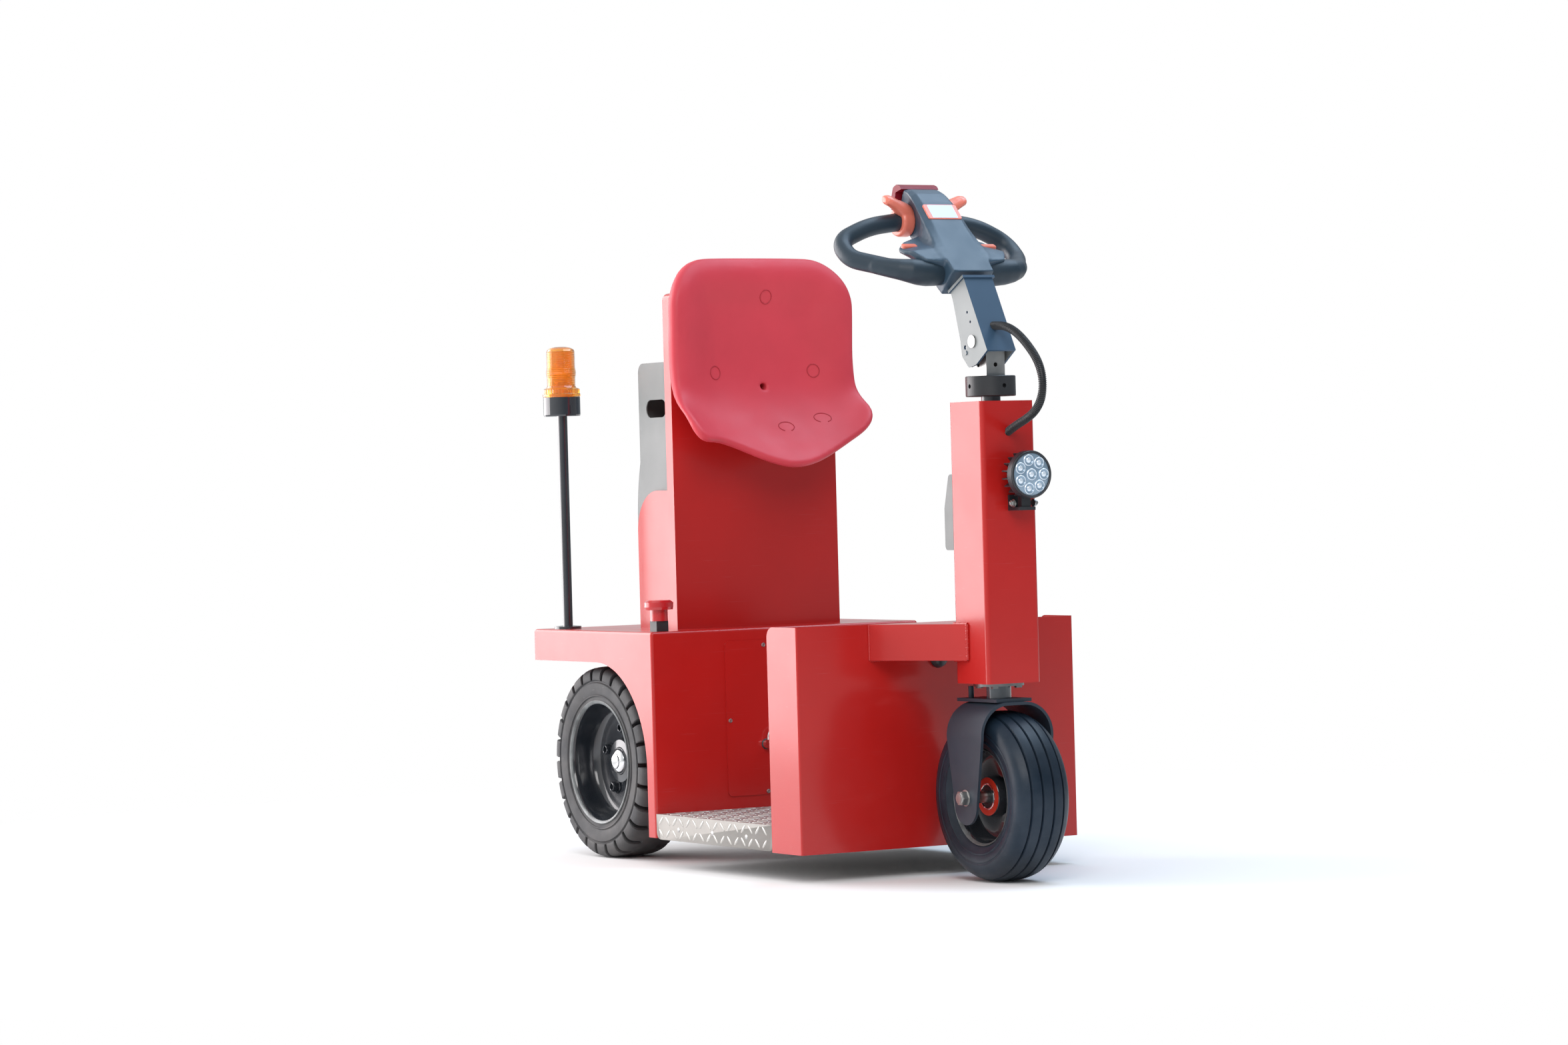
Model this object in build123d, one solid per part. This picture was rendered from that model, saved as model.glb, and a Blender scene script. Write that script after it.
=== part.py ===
# Three-wheel ride-on electric tow tractor with tiller steering.
# Millimetres. +X is forward, +Y is the driver's left, +Z is up.
# The origin is on the floor, under the middle of the machine's box.
from build123d import *
import os
from math import cos, hypot, pi, radians, sin, sqrt, tan

os.makedirs("parts", exist_ok=True)

# Wheels
REAR_AXLE_X = -485.0
REAR_R = 189.0
REAR_OUT_Y = 264.0          # outer face of the rear tyre
REAR_W = 112.0
REAR_RIM_R = 118.0
REAR_LUGS = 26              # shoulder blocks on each side of a rear tyre
LUG_NOTCH = 9.0             # gap between two shoulder blocks
LUG_DEPTH = 28.0
RIB_HALF = 22.0             # half width of the plain middle of the rear tread
FRONT_R = 154.0
FRONT_HALF_W = 56.0
FRONT_RIM_R = 89.0
FRONT_HUB_HALF = 30.0
TYRE_SIDES = 52             # flats round a tyre
STUB_R = 15.0               # fixed stub axles of the rear wheels
AXLE_R = 8.0                # front axle bolt
RUNNING = 0.05              # radial clearance of a turning shaft

# Body and deck
SHEET = 3.0
BODY_HALF = 303.0           # half width of deck, step and apron
REAR_X = -667.0             # rear edge of the deck
FRONT_X = -184.0            # front wall of the battery box
DECK_Z = 452.0              # top of the deck
FENDER_GAP = 12.0           # tyre to the fender's lower edge
FENDER_Z = 2 * REAR_R + FENDER_GAP
BODY_BOTTOM = 57.0          # lower edge of the front wall and side panels
EDGE_R = 6.0                # folded edges of the body sheet
ARCH_X = -214.0             # front edge of the wheel arch at the bottom
ARCH_LENGTH = 196.0         # half axes of the arch's rounded corner
ARCH_RISE = 205.0
WELL_HALF = 140.0           # inner walls of the wheel wells
TRAY_Z = 110.0              # underside of the battery tray
TRAY_FRONT = -375.0         # where its floor steps up behind the battery
DRIVE_FLOOR = REAR_R + 51   # underside of the drive bay
TRAY_SHEET = 5.0
HATCH_Y0 = -142.0
HATCH_Y1 = 32.0
HATCH_Z0 = 127.0
HATCH_Z1 = 428.0
HATCH_T = 2.0
HATCH_R = 10.0
HANDLE_Y = -55.0            # first boss of the hatch handle
HANDLE_Z = 225.0
HANDLE_WIDTH = 72.0
HANDLE_RISE = 29.0
HANDLE_R = 3.2
BOSS_R = 9.0
BOSS_H = 13.0

# Step, floor and apron
STEP_Z = 103.0              # top of the chequer plate
STEP_LIP_Z = 55.0           # lower edge of its folded side
STEP_SHEET = 4.0
STEP_LIP_R = 14.0
APRON_X = 358.0             # front face of the apron
APRON_RETURN_X = 252.0      # rear edge of its side returns
APRON_TOP = 467.0
APRON_BOTTOM = 53.0
APRON_SHEET = 4.0
APRON_CORNER_R = 20.0
CABLE_HOLE_R = 13.0
CABLE_HOLE_Z = 398.0
RAIL = 40.0                 # floor frame tube, square
RAIL_WALL = 3.0
RAIL_Y = 262.0              # middle of the side rails

# Steering head: fork, shaft and column
AXIS_X = 561.0              # steering axis
FORK_GAP = 11.5             # tyre to the underside of the strap
STRAP = 5.5
PLATE_T = 6.0
NECK_H = 28.0               # fork plate to the column
FORK_TOP = 2 * FRONT_R + FORK_GAP + STRAP
FORK_HALF = 78.0            # outer face of the fork legs
FORK_BEND_R = 60.0          # outer radius of the strap's shoulders
LEG_TOP_HALF = 57.0
LEG_END_R = 36.0
LEG_RISE = 108.0            # axle to where the legs reach full width
FORK_PLATE_HALF = 38.0
SHAFT_R = 17.5
NECK_R = 22.5
FLANGE_R = 46.0
FLANGE_T = 5.5
FLANGE_BOLT_R = 36.0
COLUMN_HALF_X = 54.0
COLUMN_HALF_Y = 57.0
COLUMN_BOTTOM = FORK_TOP + PLATE_T + NECK_H
COLUMN_TOP = 868.0
COLUMN_WALL = 5.0
COLUMN_R = 8.0
COLUMN_X0 = AXIS_X - COLUMN_HALF_X
COLUMN_X1 = AXIS_X + COLUMN_HALF_X
ARM_HALF = 149.0            # half width of the arm at the apron
ARM_BOTTOM = 401.0
ARM_SHEET = 4.0
ARM_TIP_X = 552.0
PAD_BOTTOM = 600.0
PAD_TOP = 738.0
PAD_DEPTH = 46.0
PAD_TOP_DEPTH = 30.0
PAD_BEND = 676.0            # height at which the pad starts to slope
PAD_HALF = 42.0

# Lamp on the column
LAMP_Y = 12.0
LAMP_Z = 734.0
LAMP_R = 43.0
LAMP_GAP = 14.0             # column to the rearmost fin
LAMP_DEPTH = 38.0
LAMP_LENS_R = 35.0
LAMP_CORE_R = 27.0
LAMP_BEZEL = 13.0
LAMP_FINS = 18
LAMP_FIN_T = 2.2
LAMP_FOOT_Z = LAMP_Z - 58   # top of the bracket's foot
LAMP_FOOT_HALF = 17.0

# Tiller block, arm and pivot
COLLAR_R = 45.5
COLLAR_GAP = 9.0
COLLAR_H = 37.0
COLLAR_Z0 = COLUMN_TOP + COLLAR_GAP
COLLAR_Z1 = COLLAR_Z0 + COLLAR_H
SET_SCREW_R = 4.0
PIVOT_X = 553.0
PIVOT_Z = 977.0
PIVOT_R = 8.0
PIVOT_HEAD_R = 11.5
BLOCK_HALF_X = 26.0
BLOCK_HALF_Y = 20.0
BLOCK_HOLE_Z = 934.0
TILLER_HALF = 31.0
TILLER_SHEET = 4.0
TILLER_LOW = (600.0, 959.5)     # lower front edge of the arm, X and Z
TILLER_HIGH = (527.0, 1097.0)   # upper front edge
INDEX_PIN = (531.0, 957.0)      # pin that holds the tiller's angle
INDEX_R = 4.0
ARM_COLLAR_T = 5.0              # plate welded round the arm's upper end
ARM_COLLAR_OUT = 3.5

# Tiller head
SPINE_HALF = 42.0           # half width of the cover's middle
SPINE_CHAMFER = 6.0
HEAD_GAP = 0.3              # arm to the cover that sits on it
BAR_AXIS = (342.0, 1207.0)  # middle line of the upper bar, X and Z
RING_R = 28.0               # thumb rocker's ring
RING_Y0 = 28.0
RING_Y1 = 54.0
RING_GAP = 2.0
RING_PLAY = 2.8             # the ring's bore is wider than the bar by this
BAR_R = 17.0                # handle bars
PADDLE_Y = 92.0
CAP_HALF = 41.0

# Seat and what carries it
POST_FRONT_X = -289.0
POST_DEPTH = 26.0
POST_REAR_X = POST_FRONT_X - POST_DEPTH
POST_HALF = 185.5
POST_TOP = 1108.0
POST_CORNER_R = 15.0
GUSSET_Y = 176.0
GUSSET_T = 4.0
GUSSET_DEPTH = 140.0
GUSSET_TOP = 723.0
GUSSET_R = 80.0
COVER_DEPTH = 130.0
COVER_TOP = 975.0
COVER_SHEET = 2.0
COVER_R = 19.0
COVER_BULGE = 16.0
COVER_BULGE_Z = 665.0
COVER_BULGE_HALF = 115.0
SLOT_Z = 884.5              # hand slot in the cover's sides
SLOT_H = 35.0
SLOT_LENGTH = 80.0
SLOT_X = POST_REAR_X - 60
SEAT_HALF = 206.0
SEAT_TOP = 1175.0
SEAT_CORNER_R = 58.0
SEAT_WALL = 24.0            # measured along X
SEAT_RIM_R = 8.0            # rounding of the front rim
SEAT_BACK_R = 6.0
SEAT_LIP_Z = 762.0          # lowest point of the front lip
SEAT_LIP_RISE = 64.0        # the lip's ends above it
SEAT_BOSSES = ((15, 1098), (-106, 950), (116, 952))     # fixing points, Y and Z
SEAT_BOSS_R = 17.0
DRAIN = (3.5, 922.0)
DRAIN_R = 7.0

# Beacon and emergency stop
POLE_X = -600.0
POLE_Y = -(BODY_HALF - 41)
POLE_R = 10.0
POLE_TOP = 877.0
BEACON_BASE_R = 37.0
BEACON_BASE_H = 38.0
LENS_R = 29.0
LENS_FOOT_R = 38.0
LENS_H = 101.0
STOP_X = -214.0
STOP_Y = -(BODY_HALF - 35)
STOP_HALF = 13.0
STOP_BASE_H = 20.0
STOP_R = 28.0
STOP_H = 41.0

# Tow hitch, axle, motor and battery
HITCH_Z = 282.0
HITCH_GAP = 40.0
HITCH_END_X = -715.0
HITCH_PIN_X = -694.0
HITCH_HOLE_R = 13.0
HITCH_PIN_R = 12.25
HITCH_PLATE = 12.0
HITCH_HALF = 32.0
HITCH_BACK = 10.0
HITCH_BACK_HALF = 60.0
HITCH_CORNER_R = 18.0
HITCH_SEAT = REAR_X + SHEET
KEEPER_R = 17.0             # tube on the back plate that stows the pin
KEEPER_X = HITCH_SEAT - HITCH_BACK - KEEPER_R + 1
KEEPER_Y = 54.0
KEEPER_HALF = 26.0
PIN_PLAY = 0.4
PIN_LENGTH = 96.0
PIN_COLLAR_R = 15.5
PIN_COLLAR_T = 7.0
PIN_RING_R = 21.0
PIN_RING_T = 6.0
AXLE_TUBE_R = 32.0
GEAR_CASE_R = 50.0
GEAR_CASE_HALF = 50.0
AXLE_PAD_Y = 100.0          # spring-less mounting pads of the axle
AXLE_PAD_HALF = 20.0
CAP_END_Y = 216.0           # end of the stub axle, under the hub cap
MOTOR_H = 160.0
BATTERY_TOP = 420.0

# Conduit from the tiller arm to the column, X and Z of its route
CONDUIT_R = 7.75
CONDUIT_XZ = [(575, 1004.5), (601, 1004), (627, 998.5), (650.5, 988.5), (672, 975), (691, 960), (708, 944.5),
              (721.5, 926.5), (729, 906.5), (729.5, 886), (723, 867), (710, 852), (693, 841), (673, 833),
              (650, 825.5), (627, 817.5), (605, 808)]


def block(x0, x1, y0, y1, z0, z1):
    return Pos((x0 + x1) / 2, (y0 + y1) / 2, (z0 + z1) / 2) * Box(abs(x1 - x0), abs(y1 - y0), abs(z1 - z0))


def rod_y(x, z, r, y0, y1):
    return Pos(x, (y0 + y1) / 2, z) * Rot(90, 0, 0) * Cylinder(r, abs(y1 - y0))


def rod_z(x, y, r, z0, z1):
    return Pos(x, y, (z0 + z1) / 2) * Cylinder(r, abs(z1 - z0))


def rod_x(y, z, r, x0, x1):
    return Pos((x0 + x1) / 2, y, z) * Rot(0, 90, 0) * Cylinder(r, abs(x1 - x0))


def prism_xz(face, y0, y1):
    return extrude(Plane.XZ.offset(-y1) * face, amount=y1 - y0)


def prism_yz(face, x0, x1):
    return extrude(Plane.YZ.offset(x0) * face, amount=x1 - x0)


def prism_xy(face, z0, z1):
    return extrude(Plane.XY.offset(z0) * face, amount=z1 - z0)


def polygon(*points):
    return make_face(Polyline(*points, close=True))


def spun_y(x, z, points):
    """Solid of revolution about a line along Y through (x, z); points are (radius, y)."""
    return Pos(x, 0, z) * revolve(polygon(*points), Axis.Y)


def spun_z(x, y, points):
    """Solid of revolution about a vertical line through (x, y); points are (radius, z)."""
    return Pos(x, y, 0) * revolve(Plane.XZ * polygon(*points), Axis.Z)


def hexagon_y(x, z, across, y0, y1):
    return prism_xz(Pos(x, z) * RegularPolygon(across / 2 / cos(radians(30)), 6), y0, y1)


def span(side, near, far):
    """The two Y values of a span that is mirrored by side, in rising order."""
    return sorted((side * near, side * far))


def save(shape, name):
    export_step(shape, f"parts/{name}.step")


# Body
def arch_face():
    """Side view of the opening round the rear wheel, open at the rear and below."""
    far, low = REAR_X - 10, BODY_BOTTOM - 1
    start, spring = ARCH_X - ARCH_LENGTH, FENDER_Z - ARCH_RISE
    edges = [
        Line((far, FENDER_Z), (start, FENDER_Z)),
        EllipticalCenterArc((start, spring), ARCH_LENGTH, ARCH_RISE, arc_size=90),
        Line((ARCH_X, spring), (ARCH_X, low)),
        Line((ARCH_X, low), (far, low)),
        Line((far, low), (far, FENDER_Z)),
    ]
    return make_face(Wire(edges))


def body_shell():
    """Folded sheet deck with its front wall, side panels and open wheel arches."""
    outer = block(REAR_X, FRONT_X, -BODY_HALF, BODY_HALF, BODY_BOTTOM, DECK_Z)
    front_corners = outer.edges().filter_by(Axis.Z).group_by(Axis.X)[-1]
    outer = fillet(outer.edges().group_by(Axis.Z)[-1] + front_corners, EDGE_R)
    inner = block(REAR_X + SHEET, FRONT_X - SHEET, -BODY_HALF + SHEET, BODY_HALF - SHEET,
                  BODY_BOTTOM - SHEET, DECK_Z - SHEET)
    return outer - inner - prism_xz(arch_face(), -BODY_HALF - SHEET, BODY_HALF + SHEET)


def chassis_box():
    """Open-topped box between the wheel wells: battery tray in front, drive bay behind."""
    x0, x1 = REAR_X + SHEET, FRONT_X - SHEET
    top, t = DECK_Z - SHEET, TRAY_SHEET
    step = TRAY_FRONT - 25
    side = polygon((x0, DRIVE_FLOOR), (step, DRIVE_FLOOR), (TRAY_FRONT, TRAY_Z), (x1, TRAY_Z), (x1, top), (x0, top))
    cavity = polygon((x0 + t, DRIVE_FLOOR + t), (step + t, DRIVE_FLOOR + t), (TRAY_FRONT + t, TRAY_Z + t),
                     (x1 - t, TRAY_Z + t), (x1 - t, top + t), (x0 + t, top + t))
    return prism_xz(side, -WELL_HALF, WELL_HALF) - prism_xz(cavity, -WELL_HALF + t, WELL_HALF - t)


def hatch_panel():
    mid_y, mid_z = (HATCH_Y0 + HATCH_Y1) / 2, (HATCH_Z0 + HATCH_Z1) / 2
    face = Pos(mid_y, mid_z) * RectangleRounded(HATCH_Y1 - HATCH_Y0, HATCH_Z1 - HATCH_Z0, HATCH_R)
    return prism_yz(face, FRONT_X, FRONT_X + HATCH_T)


def hatch_handle():
    """Chromed bail between two round bosses."""
    x0 = FRONT_X + HATCH_T
    x1 = x0 + BOSS_H
    bosses = [rod_x(y, HANDLE_Z, BOSS_R, x0, x1) for y in (HANDLE_Y, HANDLE_Y + HANDLE_WIDTH)]
    top = HANDLE_Z + HANDLE_RISE
    path = FilletPolyline((x1 - HANDLE_R, HANDLE_Y, HANDLE_Z), (x1 - HANDLE_R, HANDLE_Y, top),
                          (x1 - HANDLE_R, HANDLE_Y + HANDLE_WIDTH, top),
                          (x1 - HANDLE_R, HANDLE_Y + HANDLE_WIDTH, HANDLE_Z), radius=15)
    return sweep(Plane(path @ 0, z_dir=path % 0) * Circle(HANDLE_R), path) + bosses


# Step, floor and apron
def floor_frame():
    """Ladder frame of square tube under the step."""
    rear, front = FRONT_X, APRON_X - APRON_SHEET
    z0, z1 = STEP_Z - STEP_SHEET - RAIL, STEP_Z - STEP_SHEET
    half, w = RAIL / 2, RAIL_WALL
    frame = Part()
    for y in (-RAIL_Y, RAIL_Y):
        frame += block(rear, front, y - half, y + half, z0, z1)
        frame -= block(rear - w, front + w, y - half + w, y + half - w, z0 + w, z1 - w)
    for x in (rear + half, (rear + front) / 2, front - half):
        bar = block(x - half, x + half, -RAIL_Y + half, RAIL_Y - half, z0, z1)
        frame += bar - block(x - half + w, x + half - w, -RAIL_Y, RAIL_Y, z0 + w, z1 - w)
    return frame


def step_plate():
    half = BODY_HALF - APRON_SHEET
    plate = block(FRONT_X, APRON_X - APRON_SHEET, -half, half, STEP_Z - STEP_SHEET, STEP_Z)
    lip_face = Pos((FRONT_X + APRON_RETURN_X) / 2, (STEP_Z + STEP_LIP_Z) / 2) * RectangleRounded(
        APRON_RETURN_X - FRONT_X, STEP_Z - STEP_LIP_Z, STEP_LIP_R)
    for side in (-1, 1):
        y0, y1 = span(side, half, BODY_HALF)
        plate += prism_xz(lip_face, y0, y1)
        plate += block(FRONT_X, APRON_RETURN_X, y0, y1, STEP_Z - STEP_LIP_R, STEP_Z)
    return plate


def apron():
    t = APRON_SHEET
    front = block(APRON_X - t, APRON_X, -BODY_HALF, BODY_HALF, APRON_BOTTOM, APRON_TOP)
    side = polygon((APRON_RETURN_X, APRON_BOTTOM), (APRON_X, APRON_BOTTOM), (APRON_X, APRON_TOP),
                   (APRON_RETURN_X, APRON_TOP))
    side = fillet(side.vertices().sort_by(lambda v: v.Y - v.X)[-1], APRON_CORNER_R)
    for s in (-1, 1):
        front += prism_xz(side, *span(s, BODY_HALF - t, BODY_HALF))
    front = fillet(front.edges().filter_by(Axis.Z).group_by(Axis.X)[-1], 0.9 * t)
    return front - rod_x(0, CABLE_HOLE_Z, CABLE_HOLE_R, APRON_X - 2 * t, APRON_X + t)


# Arm and column
def front_arm():
    """Tapered box section from the apron to the column, whose sides run on past its rear corners."""
    t = ARM_SHEET
    tip = COLUMN_HALF_Y + t
    slope = (ARM_HALF - tip) / (ARM_TIP_X - APRON_X)
    outer = polygon((APRON_X, -ARM_HALF), (ARM_TIP_X, -tip), (ARM_TIP_X, -COLUMN_HALF_Y),
                    (COLUMN_X0, -COLUMN_HALF_Y), (COLUMN_X0, COLUMN_HALF_Y), (ARM_TIP_X, COLUMN_HALF_Y),
                    (ARM_TIP_X, tip), (APRON_X, ARM_HALF))
    reach = ARM_HALF - t * sqrt(1 + slope ** 2)
    depth = COLUMN_X0 - t - APRON_X
    inner = polygon((APRON_X - 1, -reach - slope), (APRON_X + depth, -reach + slope * depth),
                    (APRON_X + depth, reach - slope * depth), (APRON_X - 1, reach + slope))
    return prism_xy(outer, ARM_BOTTOM, APRON_TOP) - prism_xy(inner, ARM_BOTTOM + t, APRON_TOP - t)


def column():
    w, d, t = 2 * COLUMN_HALF_X, 2 * COLUMN_HALF_Y, COLUMN_WALL
    outer = prism_xy(Pos(AXIS_X, 0) * RectangleRounded(w, d, COLUMN_R), COLUMN_BOTTOM, COLUMN_TOP)
    inner = prism_xy(Pos(AXIS_X, 0) * RectangleRounded(w - 2 * t, d - 2 * t, COLUMN_R - t),
                     COLUMN_BOTTOM + t, COLUMN_TOP - t)
    return outer - inner - rod_z(AXIS_X, 0, SHAFT_R + RUNNING, COLUMN_BOTTOM - 1, COLUMN_TOP + 1)


def column_pad():
    x = COLUMN_X0
    side = polygon((x, PAD_BOTTOM), (x, PAD_TOP), (x - PAD_TOP_DEPTH, PAD_TOP), (x - PAD_DEPTH, PAD_BEND),
                   (x - PAD_DEPTH, PAD_BOTTOM))
    side = fillet(side.vertices().sort_by(Axis.X)[:3], 8)
    return prism_xz(side, -PAD_HALF, PAD_HALF)


def bearing_flange():
    z1 = COLUMN_BOTTOM
    disc = rod_z(AXIS_X, 0, FLANGE_R, z1 - FLANGE_T, z1)
    for k in range(4):
        a = radians(45 + 90 * k)
        x, y = AXIS_X + FLANGE_BOLT_R * cos(a), FLANGE_BOLT_R * sin(a)
        disc += prism_xy(Pos(x, y) * RegularPolygon(7, 6), z1 - FLANGE_T - 4, z1 - FLANGE_T)
    return disc - rod_z(AXIS_X, 0, SHAFT_R + RUNNING, z1 - 2 * FLANGE_T, z1 + 1)


def lamp_housing():
    """Round work lamp: finned body, bezel and the bracket that bolts it to the column."""
    x0 = COLUMN_X1 + LAMP_GAP
    x1 = x0 + LAMP_DEPTH
    x_bezel = x1 - LAMP_BEZEL
    body = rod_x(LAMP_Y, LAMP_Z, LAMP_CORE_R, x0, x_bezel) + rod_x(LAMP_Y, LAMP_Z, LAMP_R, x_bezel, x1)
    for k in range(LAMP_FINS):
        fin = block(x0 + 4, x_bezel, -LAMP_FIN_T / 2, LAMP_FIN_T / 2, LAMP_CORE_R - 2, LAMP_R - 2)
        body += Pos(0, LAMP_Y, LAMP_Z) * Rot(360 / LAMP_FINS * k, 0, 0) * fin
    body -= rod_x(LAMP_Y, LAMP_Z, LAMP_LENS_R, x1 - 5, x1 + 1)
    y0, y1 = LAMP_Y - LAMP_FOOT_HALF, LAMP_Y + LAMP_FOOT_HALF
    foot = block(COLUMN_X1, x0 + 24, y0, y1, LAMP_FOOT_Z - 6, LAMP_FOOT_Z)
    foot += block(COLUMN_X1, COLUMN_X1 + 5, y0, y1, LAMP_FOOT_Z - 6, LAMP_FOOT_Z + 22)
    foot += block(x0 + 8, x0 + 20, LAMP_Y - 10, LAMP_Y + 10, LAMP_FOOT_Z, LAMP_Z - LAMP_CORE_R + 4)
    return body + foot


def lamp_lens():
    x1 = COLUMN_X1 + LAMP_GAP + LAMP_DEPTH
    return rod_x(LAMP_Y, LAMP_Z, LAMP_LENS_R, x1 - 5, x1 - 2)


# Steering
def fork():
    """Flat strap bent over the tyre, with tapered legs, under a top plate."""
    r, t, h, w = FORK_BEND_R, STRAP, FORK_HALF, LEG_TOP_HALF
    outer = Pos(0, FORK_TOP / 2) * Rectangle(2 * h, FORK_TOP)
    outer = fillet(outer.vertices().group_by(Axis.Y)[-1], r)
    inner = Pos(0, (FORK_TOP - t) / 2) * Rectangle(2 * h - 2 * t, FORK_TOP - t)
    inner = fillet(inner.vertices().group_by(Axis.Y)[-1], r - t)
    strap = prism_yz(outer - inner, AXIS_X - w, AXIS_X + w)
    end_z, wide_z = FRONT_R - 13, FRONT_R + LEG_RISE
    leg = polygon((AXIS_X - w, FORK_TOP + 1), (AXIS_X - w, wide_z), (AXIS_X - LEG_END_R, end_z),
                  (AXIS_X + LEG_END_R, end_z), (AXIS_X + w, wide_z), (AXIS_X + w, FORK_TOP + 1))
    strap = strap & prism_xz(leg + Pos(AXIS_X, end_z) * Circle(LEG_END_R), -h - 1, h + 1)
    plate_z = FORK_TOP + PLATE_T
    strap += block(AXIS_X - w - 24, AXIS_X + w - 8, -FORK_PLATE_HALF, FORK_PLATE_HALF, FORK_TOP, plate_z)
    strap += rod_z(AXIS_X - w - 1, -22, 5, plate_z, COLUMN_BOTTOM - FLANGE_T - 1)
    return strap - rod_y(AXIS_X, FRONT_R, AXLE_R, -h - 5, h + 5)


def steer_shaft():
    z0, z1 = FORK_TOP + PLATE_T, COLLAR_Z0
    neck_top = COLUMN_BOTTOM - FLANGE_T - 0.5
    return spun_z(AXIS_X, 0, [(0, z0), (NECK_R, z0), (NECK_R, neck_top), (SHAFT_R, neck_top), (SHAFT_R, z1),
                              (0, z1)])


def collar():
    ring = rod_z(AXIS_X, 0, COLLAR_R, COLLAR_Z0, COLLAR_Z1)
    ring = chamfer(ring.edges().filter_by(GeomType.CIRCLE), 1.2)
    mid = (COLLAR_Z0 + COLLAR_Z1) / 2
    ring -= rod_x(0, mid, SET_SCREW_R, AXIS_X + COLLAR_R - 8, AXIS_X + COLLAR_R + 1)
    return ring - rod_y(AXIS_X, mid, SET_SCREW_R, -COLLAR_R - 1, -COLLAR_R + 8)


def tiller_block():
    """Upright knuckle on the collar that carries the tiller's pivot."""
    w, top = BLOCK_HALF_X, PIVOT_Z - 12
    side = polygon((PIVOT_X - w, COLLAR_Z1), (PIVOT_X + w, COLLAR_Z1), (PIVOT_X + w, top), (PIVOT_X - w, top))
    side += Pos(PIVOT_X, PIVOT_Z) * Circle(w - 2)
    side += polygon((PIVOT_X - w + 2, PIVOT_Z), (PIVOT_X - w + 2, top - 2), (PIVOT_X + w - 2, top - 2),
                    (PIVOT_X + w - 2, PIVOT_Z))
    knuckle = prism_xz(side, -BLOCK_HALF_Y, BLOCK_HALF_Y)
    knuckle -= rod_x(0, BLOCK_HOLE_Z, SET_SCREW_R, PIVOT_X, PIVOT_X + w + 1)
    knuckle -= rod_y(PIVOT_X, BLOCK_HOLE_Z, SET_SCREW_R, -BLOCK_HALF_Y - 1, -BLOCK_HALF_Y + 10)
    return knuckle - rod_y(PIVOT_X, PIVOT_Z, PIVOT_R + RUNNING, -BLOCK_HALF_Y - 1, BLOCK_HALF_Y + 1)


def front_axle():
    """Axle bolt with its spacers and hexagon nuts."""
    inner, outer = FORK_HALF - STRAP, FORK_HALF
    axle = rod_y(AXIS_X, FRONT_R, AXLE_R, -outer - 15, outer + 15)
    for s in (-1, 1):
        axle += rod_y(AXIS_X, FRONT_R, AXLE_R + 3, *span(s, FRONT_HUB_HALF + 0.5, inner))
        axle += hexagon_y(AXIS_X, FRONT_R, 24, *span(s, outer, outer + 12))
    return axle


# Tiller
def arm_length():
    return hypot(TILLER_HIGH[0] - TILLER_LOW[0], TILLER_HIGH[1] - TILLER_LOW[1])


def arm_point(along, back):
    """X and Z of a point on the arm, measured up its front face and square to the back of it."""
    ux, uz = (TILLER_HIGH[0] - TILLER_LOW[0]) / arm_length(), (TILLER_HIGH[1] - TILLER_LOW[1]) / arm_length()
    return TILLER_LOW[0] + along * ux - back * uz, TILLER_LOW[1] + along * uz + back * ux


def tiller_arm():
    """Folded channel: front plate and two side cheeks that hang on the pivot, with a collar at the top."""
    t, half = TILLER_SHEET, TILLER_HALF
    length, back = arm_length(), 50.0
    cheek = polygon(TILLER_LOW, TILLER_HIGH, arm_point(length, back), arm_point(length - 22, back + 2),
                    (PIVOT_X - 40, PIVOT_Z + 2), (PIVOT_X - 36, PIVOT_Z - 26), (PIVOT_X - 14, PIVOT_Z - 48),
                    (PIVOT_X + 10, PIVOT_Z - 42))
    low = cheek.vertices().filter_by(lambda v: v.Y < PIVOT_Z - 20 and v.X < PIVOT_X + 20)
    cheek = fillet(low, 10)
    far = 2 * length
    hollow = polygon(arm_point(-far, t), arm_point(far, t), arm_point(far, far), arm_point(-far, far))
    arm = prism_xz(cheek, -half, half) - prism_xz(hollow, -half + t, half - t)
    out, d = ARM_COLLAR_OUT, ARM_COLLAR_T
    rim = polygon(arm_point(length - d, -out), arm_point(length, -out), arm_point(length, back + out),
                  arm_point(length - d, back + out))
    rim = prism_xz(rim, -half - out, half + out) - prism_xz(hollow, -half + t, half - t)
    arm += rim
    index_x, index_z = INDEX_PIN
    arm -= rod_y(PIVOT_X, PIVOT_Z, PIVOT_R, -half - out, half + out)
    arm -= rod_y(index_x - 3, index_z + 10, INDEX_R, -half - out, half + out)
    for along in (72, 92):
        x, z = arm_point(along, 22)
        arm -= rod_y(x, z, 2.5, -half - out, -half + t + 1)
    return arm + rod_y(index_x, index_z, INDEX_R, -half - 2, -BLOCK_HALF_Y - 1)


def pivot_bolt():
    head = TILLER_HALF + 3
    bolt = rod_y(PIVOT_X, PIVOT_Z, PIVOT_R, -head, head)
    for s in (-1, 1):
        bolt += rod_y(PIVOT_X, PIVOT_Z, PIVOT_HEAD_R, *span(s, TILLER_HALF, head))
    return bolt


SPINE_XZ = [(516.7, 1107.2), (462, 1168), (401, 1232.5), (341, 1267), (322, 1262), (314, 1232), (322, 1184),
            (430, 1085), (480, 1068), (492, 1078), (486, 1088)]
SHOULDER_XZ = {
    38: [(514, 1106), (458, 1164), (412, 1205), (398, 1200), (392, 1180), (395, 1150), (430, 1100), (476, 1078)],
    62: [(503, 1118), (460, 1152), (420, 1180), (400, 1185), (390, 1175), (392, 1150), (430, 1100), (480, 1080)],
    97: [(487, 1127), (468.5, 1146), (455, 1150), (445, 1150), (436, 1146), (430, 1130), (440, 1104),
         (474, 1092)],
}


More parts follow.
